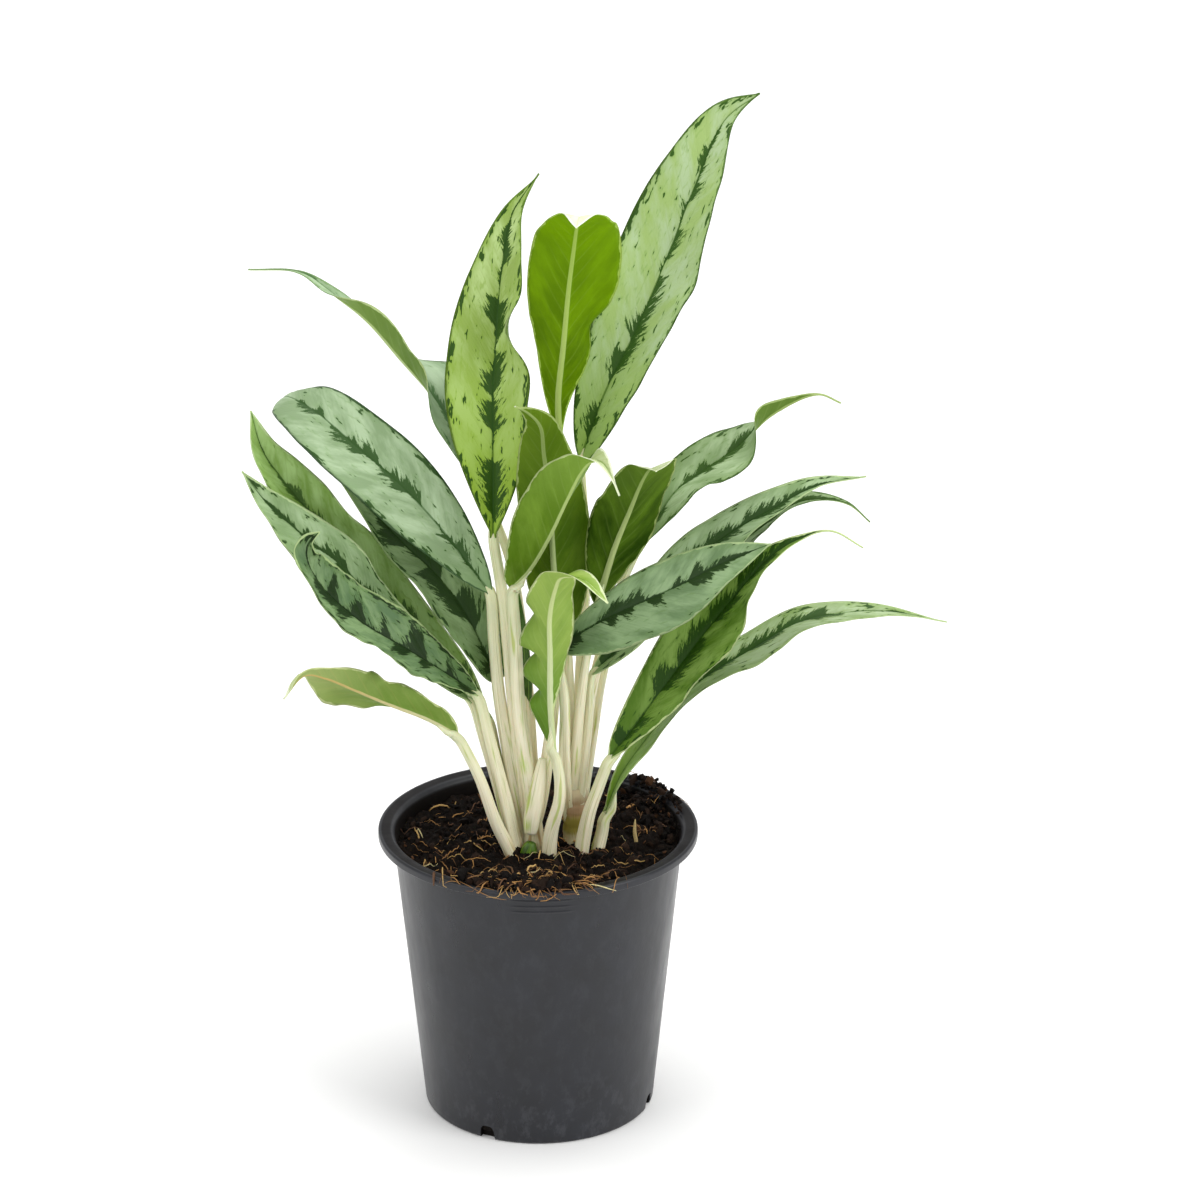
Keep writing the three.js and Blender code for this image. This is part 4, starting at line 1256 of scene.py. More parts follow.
# ---- stalks and cane ------------------------------------------------------------------------


@dataclass(frozen=True)
class Cane:
    """The short ringed cane that the right clump's stalks spring from, in millimetres."""

    x: float = 14.0
    y: float = 3.0
    foot: float = 4.8
    top: float = 4.2
    bottom_z: float = 95.0
    top_z: float = 127.0
    ring_every: float = 4.6
    rows: int = 44
    sides: int = 28

    def skin(self) -> Surface:
        """Turn the cane's profile: a taper with a shallow ring where each old leaf sat."""
        z = np.linspace(self.bottom_z, self.top_z, self.rows)
        taper = np.interp(z, [self.bottom_z, self.top_z], [self.foot, self.top])
        ring = np.exp(-((((z - self.bottom_z) % self.ring_every) - self.ring_every / 2) ** 2) / 0.35)
        round_top = np.sqrt(np.clip(1 - smooth_rise(z, self.top_z - 2.5, self.top_z + 0.6), 0.02, 1))
        turn = full_turn(self.sides)
        lean = 0.35 * np.sin(2 * turn + 0.8)[None, :] + 0.2 * np.sin(5 * turn)[None, :]
        radius = ((taper - 0.35 * ring) * round_top)[:, None] + lean * round_top[:, None]
        wander = 0.4 * np.sin(turn)[None, :]
        level = z[:, None] + wander + 0 * radius
        rings = np.stack([self.x + radius * np.cos(turn), self.y + radius * np.sin(turn), level], -1)
        share = np.full_like(z, -1.0)
        values = stalk_values(z - self.bottom_z, share, self.foot * turn, CANE_SEED)
        return Surface.from_rings(rings, values)


@dataclass(frozen=True)
class Shoot:
    """A short young body among the stalks, full below and drawn out above, in millimetres."""

    points: tuple[Point, ...]
    wide: float  # half width
    deep: float  # half depth

    def skin(self) -> Surface:
        """Build the shoot: an ellipse along a curve, rounded at the foot and tapered at the head.

        The width at a share s of the length is wide * sin(pi * (0.06 + 0.86 s)^0.7)^0.45.

        Returns:
            The shoot's skin, with the values that the stalk's material reads.
        """
        share = np.linspace(0.0, 1.0, SHOOT_ROWS)
        centre, ahead, walked = Path(self.points).by_length(share)
        side = unit(np.cross(ahead, np.array([0.1, 1.0, 0.2])))
        other = np.cross(side, ahead)
        full = np.sin(np.pi * (0.06 + 0.86 * share) ** 0.7) ** 0.45
        turn = full_turn(STALK_SIDES)
        fold = 1 - 0.12 * np.exp(-(((turn - 0.5 * np.pi) / 0.3) ** 2))
        across = (self.wide * full)[:, None] * (fold * np.cos(turn))
        through = (self.deep * full)[:, None] * (fold * np.sin(turn))
        rings = centre[:, None] + across[..., None] * side[:, None] + through[..., None] * other[:, None]
        values = stalk_values(walked, 0.3 + 0.4 * share, self.wide * turn, SHOOT_SEED)
        return Surface.from_rings(rings, values)


@dataclass
class Stalks:
    """The stalks of every clump, with the right clump's cane."""

    leaves: tuple[Leaf, ...]
    cane: Cane = Cane()
    cane_start: float = 112.0  # a stalk that starts above this springs from the cane
    cane_sink: float = 12.0
    soil_sink: float = 9.0
    sheath: Shoot = Shoot(
        ((-2.8, -8.6, 112.0), (-1.9, -8.1, 119.0), (-0.5, -7.2, 126.0), (2.0, -5.4, 141.0)), 3.3, 2.8
    )
    bud: Shoot = Shoot(
        ((-3.6, -8.4, 98.5), (-3.6, -8.9, 102.0), (-3.3, -9.2, 105.3), (-2.5, -9.1, 108.6)), 3.6, 2.9
    )
    young_blade: Shoot = Shoot(
        ((-3.5, 6.0, 158.0), (-4.0, 4.0, 172.0), (-5.5, 2.0, 189.0), (-7.5, 0.0, 206.0)), 1.9, 0.8
    )
    blushes: tuple[tuple[Point, float], ...] = (
        ((-7.0, -9.0, 138.0), 6.5), ((-5.5, -9.5, 125.5), 5.0), ((-5.0, -10.0, 116.0), 4.0),
        ((12.0, -1.0, 178.0), 7.0),
    )  # places where the cream turns lime, each with its reach
    bark: tuple[tuple[float, float, str], ...] = (
        (0.1065, 0.1095, "8f8436"), (0.114, 0.117, "b2926f"), (0.119, 0.125, "d6c5a2"),
    )  # heights in metres between which the cane turns to a tone, from the cream in the soil

    def material(self) -> bpy.types.Material:
        """Make the cream stalk: streaked along its length, with olive streaks of painted shade, greener
        above, stained below.

        The cane is cream in the soil, olive and tan above it and cream again where stalks part.
        """
        made = Finish("stalk_cream")
        w = made.wiring
        along, around, seed = w.split("stalk_mm")
        share = w.value("stalk_share")
        broad = w.streaks((along, around, seed), (0.045, 0.5), 2.0)
        fine = w.streaks((along, around, seed), (0.08, 2.6), 3.0, 0.6)
        tone = w.blend(w.scale(fine, 0.3, 0.7, 0, 1), colour("f2edd2"), colour("e6dfbd"))
        tone = w.blend(w.rise(share, 0.5, 1.05, 0.5), tone, colour("c2d09a"))
        streak = w.times(w.rise(broad, 0.56, 0.7), w.rise(share, 0.0, 0.3, 0.85))
        tone = w.blend(streak, tone, colour("b2c062"))
        tone = w.blend(w.rise(share, 0.35, 0.02, 0.5), tone, colour("cdbd8e"))
        # painted shade: thin olive streaks stand in for the shade in the gaps where the stalks press
        # together
        line = w.streaks((along, around, w.plus(seed, 3.0)), (0.02, 2.2), 2.0)
        tone = w.blend(w.rise(line, 0.58, 0.66, 0.55), tone, colour("a9a566"))
        damp = w.times(w.rise(broad, 0.52, 0.62), w.rise(share, 0.32, 0.08, 0.75))
        tone = w.blend(damp, tone, colour("ab8654"))
        for place, reach in self.blushes:
            apart = w.node("ShaderNodeVectorMath", operation="DISTANCE")
            w.feed(w.place(), apart.inputs[0])
            apart.inputs[1].default_value = tuple(v * MM for v in place)
            near = w.rise(apart.outputs["Value"], reach * MM, 0.2 * reach * MM)
            tone = w.blend(w.times(near, w.rise(fine, 0.34, 0.6, 0.85)), tone, colour("a9c83c"))
        spots = w.streaks((along, around, w.plus(seed, 5.0)), (0.9, 1.4), 2.0, 0.6)
        specks = w.times(w.rise(spots, 0.69, 0.74), w.rise(share, 0.6, 0.1))
        tone = w.blend(w.times(specks, 0.8), tone, colour("6b4a2c"))
        is_cane = w.rise(share, -0.4, -0.6)
        _, _, z = w.place_parts()
        at = w.plus(z, w.times(w.minus(fine, 0.5), 0.006))
        bark_tone = colour("d5c9a0")
        for start, end, code in self.bark:
            bark_tone = w.blend(w.rise(at, start, end), bark_tone, colour(code))
        tone = w.blend(is_cane, tone, bark_tone)
        ridges = w.math("SINE", w.times(around, 5.5))
        height = w.plus(w.times(ridges, 0.25), fine)
        rough = w.scale(fine, 0.3, 0.7, 0.36, 0.5)
        return made.set(
            Base_Color=tone,
            Roughness=rough,
            Normal=w.bump(height, 0.16, 0.0005),
            Subsurface_Weight=0.12,
            Subsurface_Scale=0.003,
        )

    def bud_material(self, dark: bool = False) -> bpy.types.Material:
        """Make the green of the young parts: paler lines along a blotched green.

        Args:
            dark: Whether it is the deep green of the young blade.

        Returns:
            The material.
        """
        made = Finish("young_blade_green" if dark else "bud_green")
        w = made.wiring
        along, around, seed = w.split("stalk_mm")
        blotch = w.streaks((along, around, seed), (0.3, 0.4), 3.0, 0.6)
        line = w.streaks((along, around, seed), (0.05, 1.8), 2.0)
        codes = ("3d6414", "2a4c08", "8aa84c") if dark else ("557c0c", "304f04", "9fb43c")
        tone = w.blend(w.scale(blotch, 0.35, 0.65, 0, 1), colour(codes[0]), colour(codes[1]))
        tone = w.blend(w.rise(line, 0.55, 0.7, 0.6), tone, colour(codes[2]))
        rough = w.scale(blotch, 0.3, 0.7, 0.4, 0.55)
        return made.set(Base_Color=tone, Roughness=rough, Normal=w.bump(line, 0.2, 0.0005))

    def build(self) -> None:
        """Build each clump as one piece in place of its solid, then the young parts."""
        cream = self.material()
        for clump in ("left", "right", "front"):
            skins = [self.skin_of(leaf) for leaf in self.leaves if leaf.clump == clump]
            if clump == "right":
                skins.append(self.cane.skin())
            if clump == "left":
                skins.append(self.sheath.skin())
            piece = Surface.joined(skins).as_object("stalk_clump_" + clump, [cream])
            settle(piece, "stalk", "stalks_" + clump)
            LOG.info("stalks %s: %d skins", clump, len(skins))
        bud = self.bud.skin().as_object("green_bud", [self.bud_material()])
        settle(bud, "stalk")
        sliver = self.young_blade.skin().as_object("young_blade", [self.bud_material(True)])
        settle(sliver, "leaf_green")

    def skin_of(self, leaf: Leaf) -> Surface:
        """Return a stalk's skin, started in the cane or straight down in the soil."""
        x, y, z = leaf.stalk[0]
        if leaf.clump == "right" and z > self.cane_start:
            return leaf.stalk_skin((self.cane.x, self.cane.y, z - self.cane_sink))
        return leaf.stalk_skin((x, y, z - self.soil_sink))


# ---- pot ------------------------------------------------------------------------------------


@dataclass(frozen=True)
class Pot:
    """The nursery pot: a thin tapered wall with a flange, drain holes and foot notches."""

    height: float = 111.5
    rim: float = 60.0
    foot: float = 43.5
    wall_top: float = 54.3
    wall_top_z: float = 107.6
    wall: float = 1.0
    floor_top: float = 2.7
    segments: int = 168
    drains: int = 6
    drain_radius: float = 3.5
    drain_circle: float = 28.0
    notch_azimuths: tuple[float, ...] = (-26.0, 72.0, 154.0, 264.0)  # degrees from the front
    notch_width: float = 6.4
    notch_height: float = 5.6
    ribs_z: tuple[float, ...] = (105.2, 102.8, 100.6)
    rib_reach: float = 11.5
    rib_height: float = 0.28
    drain_sides: int = 24
    drain_levels: tuple[float, ...] = (-3.0, 0.0, 6.0)  # heights of the drain pins' rings
    notch_sides: int = 40
    notch_cut: tuple[float, float] = (2.6, 3.0)  # how far the notch blocks reach in and out
    sharp_degrees: float = 38.0

    def wall_radius(self, z: Array) -> Array:
        """Return the outside radius of the wall at a height: a straight taper."""
        return self.foot + (self.wall_top - self.foot) * np.asarray(z, float) / self.wall_top_z

    def profile(self) -> Array:
        """List the outline from the middle of the underside, out, up, over the rim and back."""
        low = np.linspace(1.2, 97.0, 26)
        ribbed = np.linspace(97.4, 105.8, 43)
        outer = np.concatenate([low, ribbed, [107.0]])
        wall = np.stack([self.wall_radius(outer), outer], -1)
        lip = np.linspace(-0.5 * np.pi, 0.0, 6)
        flange = [(54.9, 108.2), (56.2, 109.0), (58.4, 109.75)]
        turned_down = [(58.8, 109.3), (58.95, 108.7), (59.3, 108.45)]
        band = np.stack([59.55 + 0.45 * np.cos(lip), 108.9 + 0.45 * np.sin(lip)], -1)
        curl = np.linspace(0.0, 0.5 * np.pi, 8)
        over = np.stack([59.2 + 0.8 * np.cos(curl), 110.7 + 0.8 * np.sin(curl)], -1)
        inner_z = np.linspace(107.0, self.floor_top + 1.2, 14)
        inner = np.stack([self.wall_radius(inner_z) - self.wall, inner_z], -1)
        return np.vstack(
            [
                [(1.0, 0.0), (17.4, 0.0), (18.0, 0.1), (19.0, 1.2), (37.5, 1.2), (38.5, 0.1), (39.0, 0.0)],
                [(42.6, 0.0), (43.2, 0.3), (43.5, 0.8)],
                wall, flange, turned_down, band, over,
                [(57.0, 111.45), (55.6, 111.3), (54.6, 110.8), (53.8, 109.6)],
                inner,
                [(self.wall_radius(0) - 2.2, self.floor_top), (1.0, self.floor_top)],
            ]
        )

    def skin(self) -> Surface:
        """Turn the profile about the axis, with three short ribs moulded on the front.

        A point is the profile's radius at its azimuth. A rib adds a bell in z that fades out at
        the ends of its reach, and the pot is out of round by under a tenth of a millimetre.

        Returns:
            The pot's skin, closed through its thickness.
        """
        rows = self.profile()
        turn = full_turn(self.segments)
        radius = rows[:, :1] + 0 * turn[None, :]
        z = rows[:, 1:] + 0 * turn[None, :]
        x = radius * np.sin(turn)
        at_front = (np.cos(turn)[None, :] > 0) & (np.abs(radius - self.wall_radius(z)) < 0.05)
        ends = 1 - smooth_rise(np.abs(x - 2.0), self.rib_reach - 1.0, self.rib_reach)
        bells = sum(np.exp(-(((z - level) / 0.4) ** 2)) for level in self.ribs_z)
        radius = radius + np.where(at_front, self.rib_height * bells * ends, 0.0)
        radius = radius * (1 + 0.0012 * np.sin(2 * turn + 0.6))
        rings = np.stack([radius * np.sin(turn), -radius * np.cos(turn), z], -1)
        return Surface.from_rings(rings, {})

    def cutter(self) -> bpy.types.Object:
        """Build one body of round pins and notch blocks, to cut the holes with."""
        turn = full_turn(self.drain_sides)
        skins = []
        for k in range(self.drains):
            azimuth = 2 * np.pi * (k + 0.5) / self.drains
            centre = self.drain_circle * np.array([math.sin(azimuth), -math.cos(azimuth)])
            circle = centre + self.drain_radius * np.stack([np.cos(turn), np.sin(turn)], -1)
            heights = [np.full(self.drain_sides, z) for z in self.drain_levels]
            levels = [np.column_stack([circle, height]) for height in heights]
            skins.append(Surface.from_rings(np.stack(levels), {}))
        for degrees in self.notch_azimuths:
            azimuth = math.radians(degrees)
            out = np.array([math.sin(azimuth), -math.cos(azimuth), 0.0])
            side = np.array([math.cos(azimuth), math.sin(azimuth), 0.0])
            bend = full_turn(self.notch_sides)
            wide = self.notch_width / 2 * np.sign(np.cos(bend)) * np.abs(np.cos(bend)) ** 0.5
            tall = self.notch_height * np.sign(np.sin(bend)) * np.abs(np.sin(bend)) ** 0.45
            wide = wide * (1 - 0.18 * np.maximum(tall, 0) / self.notch_height)
            ring = side * wide[:, None] + np.array([0, 0, 1.0]) * tall[:, None]
            deep, proud = self.notch_cut
            reaches = (self.foot - deep, self.foot, self.foot + proud)
            levels = [ring + out * reach for reach in reaches]
            skins.append(Surface.from_rings(np.stack(levels), {}))
        return Surface.joined(skins).as_object("pot_cutter", [])

    def material(self, noise: bpy.types.NodeTree) -> bpy.types.Material:
        """Make the charcoal plastic: half glossy, smeared near the foot, with painted shade inside the wall
        and a darker lip.
        """
        made = Finish("pot_plastic_charcoal")
        w = made.wiring
        spots = w.group(noise, Size=60.0)
        x, y, z = w.place_parts()
        from_axis = w.math("SQRT", w.plus(w.times(x, x), w.times(y, y)))
        wall = w.scale(z, 0.0, self.wall_top_z * MM, self.foot * MM, self.wall_top * MM)
        # painted shade: the inside of the wall is darkened and its reflection damped, as the shade inside
        # the pot; the top of the lip is darkened too
        inside = w.rise(w.minus(wall, from_axis), 0.0003, 0.0007)
        lip = w.times(w.rise(z, 0.1109, 0.1114), w.rise(from_axis, 0.0592, 0.0584))
        inner_shade_dark_lip = w.math("MAXIMUM", inside, w.times(lip, 0.75))
        tone = w.blend(w.scale(spots["Broad"], 0.3, 0.7, 0, 1), colour("15161b"), colour("1c1e25"))
        low = w.rise(z, 0.035, 0.0)
        cloudy = w.noise(w.vector(x, y, w.times(z, 0.6)), 220.0, 4.0, 0.7)
        dust = w.times(w.rise(cloudy, 0.47, 0.66), w.scale(low, 0.0, 1.0, 0.03, 0.13))
        tone = w.blend(dust, tone, colour("6c6d74"))
        tone = w.blend(inner_shade_dark_lip, tone, colour("120e0c"))
        smear = w.noise(w.vector(x, y, w.times(z, 0.35)), 60.0, 4.0, 0.65)
        clean = w.plus(w.scale(smear, 0.35, 0.65, 0.27, 0.43), w.times(dust, 0.4))
        rough = w.plus(clean, w.times(inner_shade_dark_lip, 0.25))
        grain = w.noise(w.place(), 900.0, 2.0, 0.6)
        height = w.plus(w.times(smear, 0.6), w.times(grain, 0.12))
        return made.set(
            Base_Color=tone,
            Roughness=rough,
            Specular_IOR_Level=w.scale(inner_shade_dark_lip, 0.0, 1.0, 0.42, 0.1),
            Normal=w.bump(height, 0.16, 0.001),
        )

    def build(self, noise: bpy.types.NodeTree) -> None:
        """Build the pot, cut its holes and put it in place of its solid."""
        piece = self.skin().as_object("nursery_pot", [self.material(noise)])
        cutter = self.cutter()
        cut = piece.modifiers.new("holes", "BOOLEAN")
        cut.operation = "DIFFERENCE"
        cut.solver = "EXACT"
        cut.object = cutter
        bpy.context.view_layer.update()
        whole = piece.data
        state = bpy.context.evaluated_depsgraph_get()
        piece.data = bpy.data.meshes.new_from_object(piece.evaluated_get(state))
        piece.modifiers.clear()
        bpy.data.meshes.remove(whole)
        bpy.data.objects.remove(cutter)
        piece.data.set_sharp_from_angle(angle=math.radians(self.sharp_degrees))
        settle(piece, "pot_plastic", "pot")
        LOG.info("pot: %d faces", len(piece.data.polygons))


# ---- soil -----------------------------------------------------------------------------------


@dataclass(frozen=True)
class Spill:
    """Soil spilled over one stretch of the rim, in millimetres and degrees from +X."""

    middle: float
    spread: float
    start: float
    end: float
    crumbs: int
    pile: float


@dataclass(frozen=True)
class Soil:
    """The potting soil: its heaped top, loose crumbs and coir fibres, in millimetres."""

    pot: Pot
    level: float = 104.5
    front_heap: tuple[float, ...] = (-3.0, 32.0, 16.0, 50.0, 6.0)  # x, spread, start, end, height
    back_heap: tuple[float, ...] = (42.0, 26.0, 18.0, 4.0)  # x, y, spread, height
    crumbs: int = 1900
    front_spill: Spill = Spill(-94.0, 14.0, 46.0, 59.6, 1500, 1.7)
    back_spill: Spill = Spill(36.0, 14.0, 44.0, 57.5, 420, 1.6)
    fibres: int = 240
    heap_fibres: int = 250
    heap_fibres_behind: float = 0.05  # the share of the heap's fibres that lie at the back
    seed: int = 41
    rim_starts: tuple[float, float] = (51.5, 54.5)  # where a loose thing passes from soil to rim
    soil_edge: float = 52.0
    crumb_reach: float = 51.6
    crumb_room: float = 1.3  # the clearance to the wall, as a share of the crumb's size
    rim_lift: float = 0.7
    fibre_reach: float = 49.0
    fibre_limit: float = 52.6
    overhang: float = 1.4
    droop: float = 3.0
    fibre_logs: tuple[float, float] = (1.8, 2.1)  # middle length as a logarithm: soil, rim
    fibre_spread: float = 0.45
    fibre_lengths: tuple[float, float] = (2.5, 20.0)
    bed_rings: int = 110
    bed_sides: int = 300
    bed_levels: tuple[float, ...] = (90.0, 60.0, 30.0, 3.2)  # rings down the pot's wall
    bed_floor: tuple[float, ...] = (30.0, 12.0, 1.0)  # radii of the rings under the soil
    splinter: Path = Path(
        ((36.9, -1.0, 100.5), (36.8, -1.2, 105.0), (36.2, -1.4, 109.5), (36.4, -1.0, 114.5))
    )
    splinter_rows: int = 14
    splinter_sides: int = 8
    fibre_rows: int = 9
    fibre_sides: int = 4

    def ground(self, x: Array, y: Array) -> Array:
        """Work out the soil's height: a level with two heaps and slow waves.

        Args:
            x: Places across.
            y: Places in depth.

        Returns:
            Heights, without the lumps.
        """
        heap_x, spread, start, end, height = self.front_heap
        front = height * smooth_rise(-y, start, end) * np.exp(-(((x - heap_x) / spread) ** 2))
        back_x, back_y, back_spread, back_height = self.back_heap
        away = np.hypot(x - back_x, y - back_y)
        back = back_height * np.exp(-((away / back_spread) ** 2))
        broad = 0.8 * np.sin(0.31 * x + 1.2) * np.sin(0.27 * y + 0.4)
        return self.level + front + back + broad + 0.4 * np.sin(0.63 * x - 0.41 * y + 2.1)

    def top(self, x: Array, y: Array) -> Array:
        """Add lumps to the ground: three sizes of folded noise, with sharp pits between them."""
        flat = np.stack([x, y], -1)
        lumps = 1.5 * (0.5 - np.abs(uneven(flat, 15.0, self.seed)))
        lumps = lumps + 1.1 * (0.5 - np.abs(uneven(flat, 6.0, self.seed + 1, 12)))
        lumps = lumps + 0.55 * (0.5 - np.abs(uneven(flat, 2.6, self.seed + 2, 16)))
        return self.ground(x, y) + lumps

    def bed(self) -> Surface:
        """Build the soil body: rings out over the top, down the wall and in along the floor."""
        turn = full_turn(self.bed_sides)
        wall = self.pot.wall_radius(self.level) - self.pot.wall + 0.15
        reach = np.linspace(0.008, 1.0, self.bed_rings)[:, None] * (wall + 0 * turn[None, :])
        x, y = reach * np.cos(turn), reach * np.sin(turn)
        top = np.stack([x, y, self.top(x, y)], -1)
        edge = self.pot.wall_radius(top[-1, :, 2]) - self.pot.wall + 0.12
        top[-1, :, 0], top[-1, :, 1] = edge * np.cos(turn), edge * np.sin(turn)
        lower_z = np.array(self.bed_levels)[:, None] + 0 * turn[None, :]
        lower_r = self.pot.wall_radius(lower_z) - self.pot.wall + 0.1
        side = np.stack([lower_r * np.cos(turn), lower_r * np.sin(turn), lower_z], -1)
        floor_r = np.array(self.bed_floor)[:, None] + 0 * turn[None, :]
        floor = np.stack([floor_r * np.cos(turn), floor_r * np.sin(turn), 3.0 + 0 * floor_r], -1)
        return Surface.from_rings(np.concatenate([top, side, floor]), {})

    def lie(self, x: Array, y: Array) -> Array:
        """Work out what a loose thing lies on: the soil, or the rim where it is outside the wall.

        Args:
            x: Places across.
            y: Places in depth.

        Returns:
            Heights, eased from the soil's top to the rim's by a smooth rise past the wall.
        """
        away = np.hypot(x, y)
        pull = np.minimum(1.0, self.soil_edge / np.maximum(away, 1e-6))
        over_rim = smooth_rise(away, *self.rim_starts)
        return self.top(x * pull, y * pull) * (1 - over_rim) + (self.pot.height + 0.1) * over_rim

    def scatter(self, draw: np.random.Generator) -> tuple[Array, Array, Array]:
        """Draw the crumbs' places: all over the soil, over the front rim and over the back rim.

        Args:
            draw: The seeded draw.

        Returns:
            Places across and in depth, and heights.
        """
        azimuths = [draw.uniform(0, 2 * np.pi, self.crumbs)]
        reaches = [self.crumb_reach * np.sqrt(draw.uniform(0, 1, self.crumbs))]
        piles = [np.zeros(self.crumbs)]
        for spill in (self.front_spill, self.back_spill):
            turn = draw.normal(0, 1, spill.crumbs)
            azimuths.append(np.radians(spill.middle + spill.spread * turn))
            share = draw.uniform(0, 1, spill.crumbs)
            reaches.append(spill.start + (spill.end - spill.start) * share * (1 - 0.12 * turn**2 / 2))
            piles.append(spill.pile * np.exp(-(turn**2) / 2) * draw.uniform(0, 1, spill.crumbs))
        azimuth, reach = np.concatenate(azimuths), np.concatenate(reaches)
        x, y = reach * np.cos(azimuth), reach * np.sin(azimuth)
        return x, y, self.lie(x, y) + np.concatenate(piles)

    def lumps(self) -> Surface:
        """Scatter loose crumbs: a 20-sided body each, turned, squashed and dented by seeded draws.

        A crumb inside the wall is drawn in to stay clear of it, and one over the rim is lifted.

        Returns:
            All the crumbs as one surface, with a tone for each.
        """
        draw = np.random.default_rng(self.seed + 7)
        golden = (1 + math.sqrt(5)) / 2
        signs = np.array([(a, b) for a in (-1, 1) for b in (-1, 1)], float)
        ring = np.column_stack([np.zeros(4), signs[:, 0], signs[:, 1] * golden])
        body = unit(np.vstack([ring, ring[:, [1, 2, 0]], ring[:, [2, 0, 1]]]))
        gaps = np.linalg.norm(body[:, None] - body[None], axis=-1)
        near = (gaps < 1.2) & (gaps > 0)
        threes = np.array(list(combinations(range(len(body)), 3)))
        a, b, c = threes.T
        faces = threes[near[a, b] & near[b, c] & near[a, c]]
        first, second, third = body[faces[:, 0]], body[faces[:, 1]], body[faces[:, 2]]
        inward = (np.cross(second - first, third - first) * first).sum(1) < 0
        faces[inward] = faces[inward][:, ::-1]
        x, y, z = self.scatter(draw)
        count = len(x)
        spin = np.linalg.qr(draw.normal(size=(count, 3, 3)))[0]
        spin[np.linalg.det(spin) < 0, 0] *= -1.0
        size = draw.lognormal(-0.35, 0.55, count).clip(0.3, 2.3)
        away = np.hypot(x, y)
        room = self.pot.wall_radius(self.level) - self.pot.wall
        fits = np.where(away < room, np.minimum(1.0, (room - self.crumb_room * size) / away), 1.0)
        x, y = x * fits, y * fits
        stretch = draw.uniform(0.3, 1.5, (count, 1, 3)) * size[:, None, None]
        dents = draw.uniform(0.55, 1.25, (count, len(body), 1))
        skins = (body[None] * dents * stretch) @ spin
        z = z + size * (draw.uniform(-0.15, 0.5, count) + np.where(away < room, 0.0, self.rim_lift))
        points = (skins + np.stack([x, y, z], -1)[:, None, :]).reshape(-1, 3)
        numbers = (faces[None] + len(body) * np.arange(count)[:, None, None]).reshape(-1, 3)
        tone = np.repeat(draw.uniform(0, 1, count), len(body))[:, None]
        return Surface(points, np.zeros((0, 4), int), numbers, np.zeros(0, int), {"tone": tone})

    def strands(self, count: int, at_heap: bool, seed: int) -> Surface:
        """Lay coir fibres: a four-sided tube each, along a seeded arc over the soil.

        Args:
            count: How many fibres.
            at_heap: Whether they lie over the front and back rim, or all over the soil.
            seed: The draw.

        Returns:
            The fibres as one surface, with a tone for each.
        """
        draw = np.random.default_rng(seed)
        if at_heap:
            at_back = draw.uniform(0, 1, count) < self.heap_fibres_behind
            turn = draw.normal(0, 1, count)
            front, back = self.front_spill, self.back_spill
            middle = np.where(at_back, back.middle, front.middle)
            azimuth = np.radians(middle + np.where(at_back, back.spread, front.spread) * turn)
            reach = draw.uniform(front.start, self.pot.rim, count)
            heading = azimuth + draw.uniform(0.12, 0.88, count) * np.pi
        else:
            azimuth = draw.uniform(0, 2 * np.pi, count)
            reach = self.fibre_reach * np.sqrt(draw.uniform(0.02, 1, count))
            heading = draw.uniform(0, 2 * np.pi, count)
        length = draw.lognormal(self.fibre_logs[at_heap], self.fibre_spread, count)
        length = length.clip(*self.fibre_lengths)
        curl = draw.normal(0, 0.01, count)
        steps = np.linspace(-0.5, 0.5, self.fibre_rows)
        turn = heading[:, None] + curl[:, None] * length[:, None] * steps
        dx, dy = np.cos(turn), np.sin(turn)
        step = (length / (self.fibre_rows - 1))[:, None]
        x = (reach * np.cos(azimuth))[:, None] + (np.cumsum(dx, 1) - dx.sum(1, keepdims=True) / 2) * step
        y = (reach * np.sin(azimuth))[:, None] + (np.cumsum(dy, 1) - dy.sum(1, keepdims=True) / 2) * step
        away = np.hypot(x, y)
        limit = self.pot.rim + self.overhang if at_heap else self.fibre_limit
        pull = np.minimum(1.0, limit / away)
        x, y, away = x * pull, y * pull, away * pull
        droop = self.droop * smooth_rise(away, self.pot.rim - 1.5, self.pot.rim + self.overhang)
        lift = draw.gamma(1.4, 0.4, count)[:, None] * np.sin(np.pi * (steps + 0.5))[None, :] ** 0.7
        tilt = draw.normal(0, 0.09, count)[:, None] * length[:, None] * steps
        pile = draw.uniform(0.0, 2.2, count)[:, None] if at_heap else 0.0
        z = self.lie(x, y) - droop + lift + pile + np.where(tilt > 0, tilt, 0) + 0.25
        centre = np.stack([x, y, z], -1)
        ahead = unit(np.gradient(centre, axis=1))
        side = unit(np.cross(ahead, np.array([0.0, 0.0, 1.0])))
        top = np.cross(side, ahead)
        thick = draw.lognormal(-1.75, 0.5, count).clip(0.09, 0.55)
        taper = np.sin(np.pi * np.clip(steps + 0.53, 0.06, 0.94)) ** 0.4
        around = full_turn(self.fibre_sides)
        radius = thick[:, None, None, None] * taper[None, :, None, None]
        ring = side[:, :, None] * np.cos(around)[:, None] + top[:, :, None] * np.sin(around)[:, None]
        points = (centre[:, :, None] + radius * ring).reshape(-1, 3)
        corners = self.fibre_rows * self.fibre_sides
        base = (corners * np.arange(count))[:, None, None]
        first = np.arange(self.fibre_sides)
        ends = np.stack([first[::-1], first + corners - self.fibre_sides])
        tube = np.vstack([ring_quads(self.fibre_rows, self.fibre_sides), ends])
        faces = (tube[None] + base).reshape(-1, 4)
        tone = np.repeat(draw.uniform(0, 1, count), corners)[:, None]
        none = np.zeros((0, 3), int)
        return Surface(points, faces, none, np.zeros(len(faces), int), {"tone": tone}).outward()

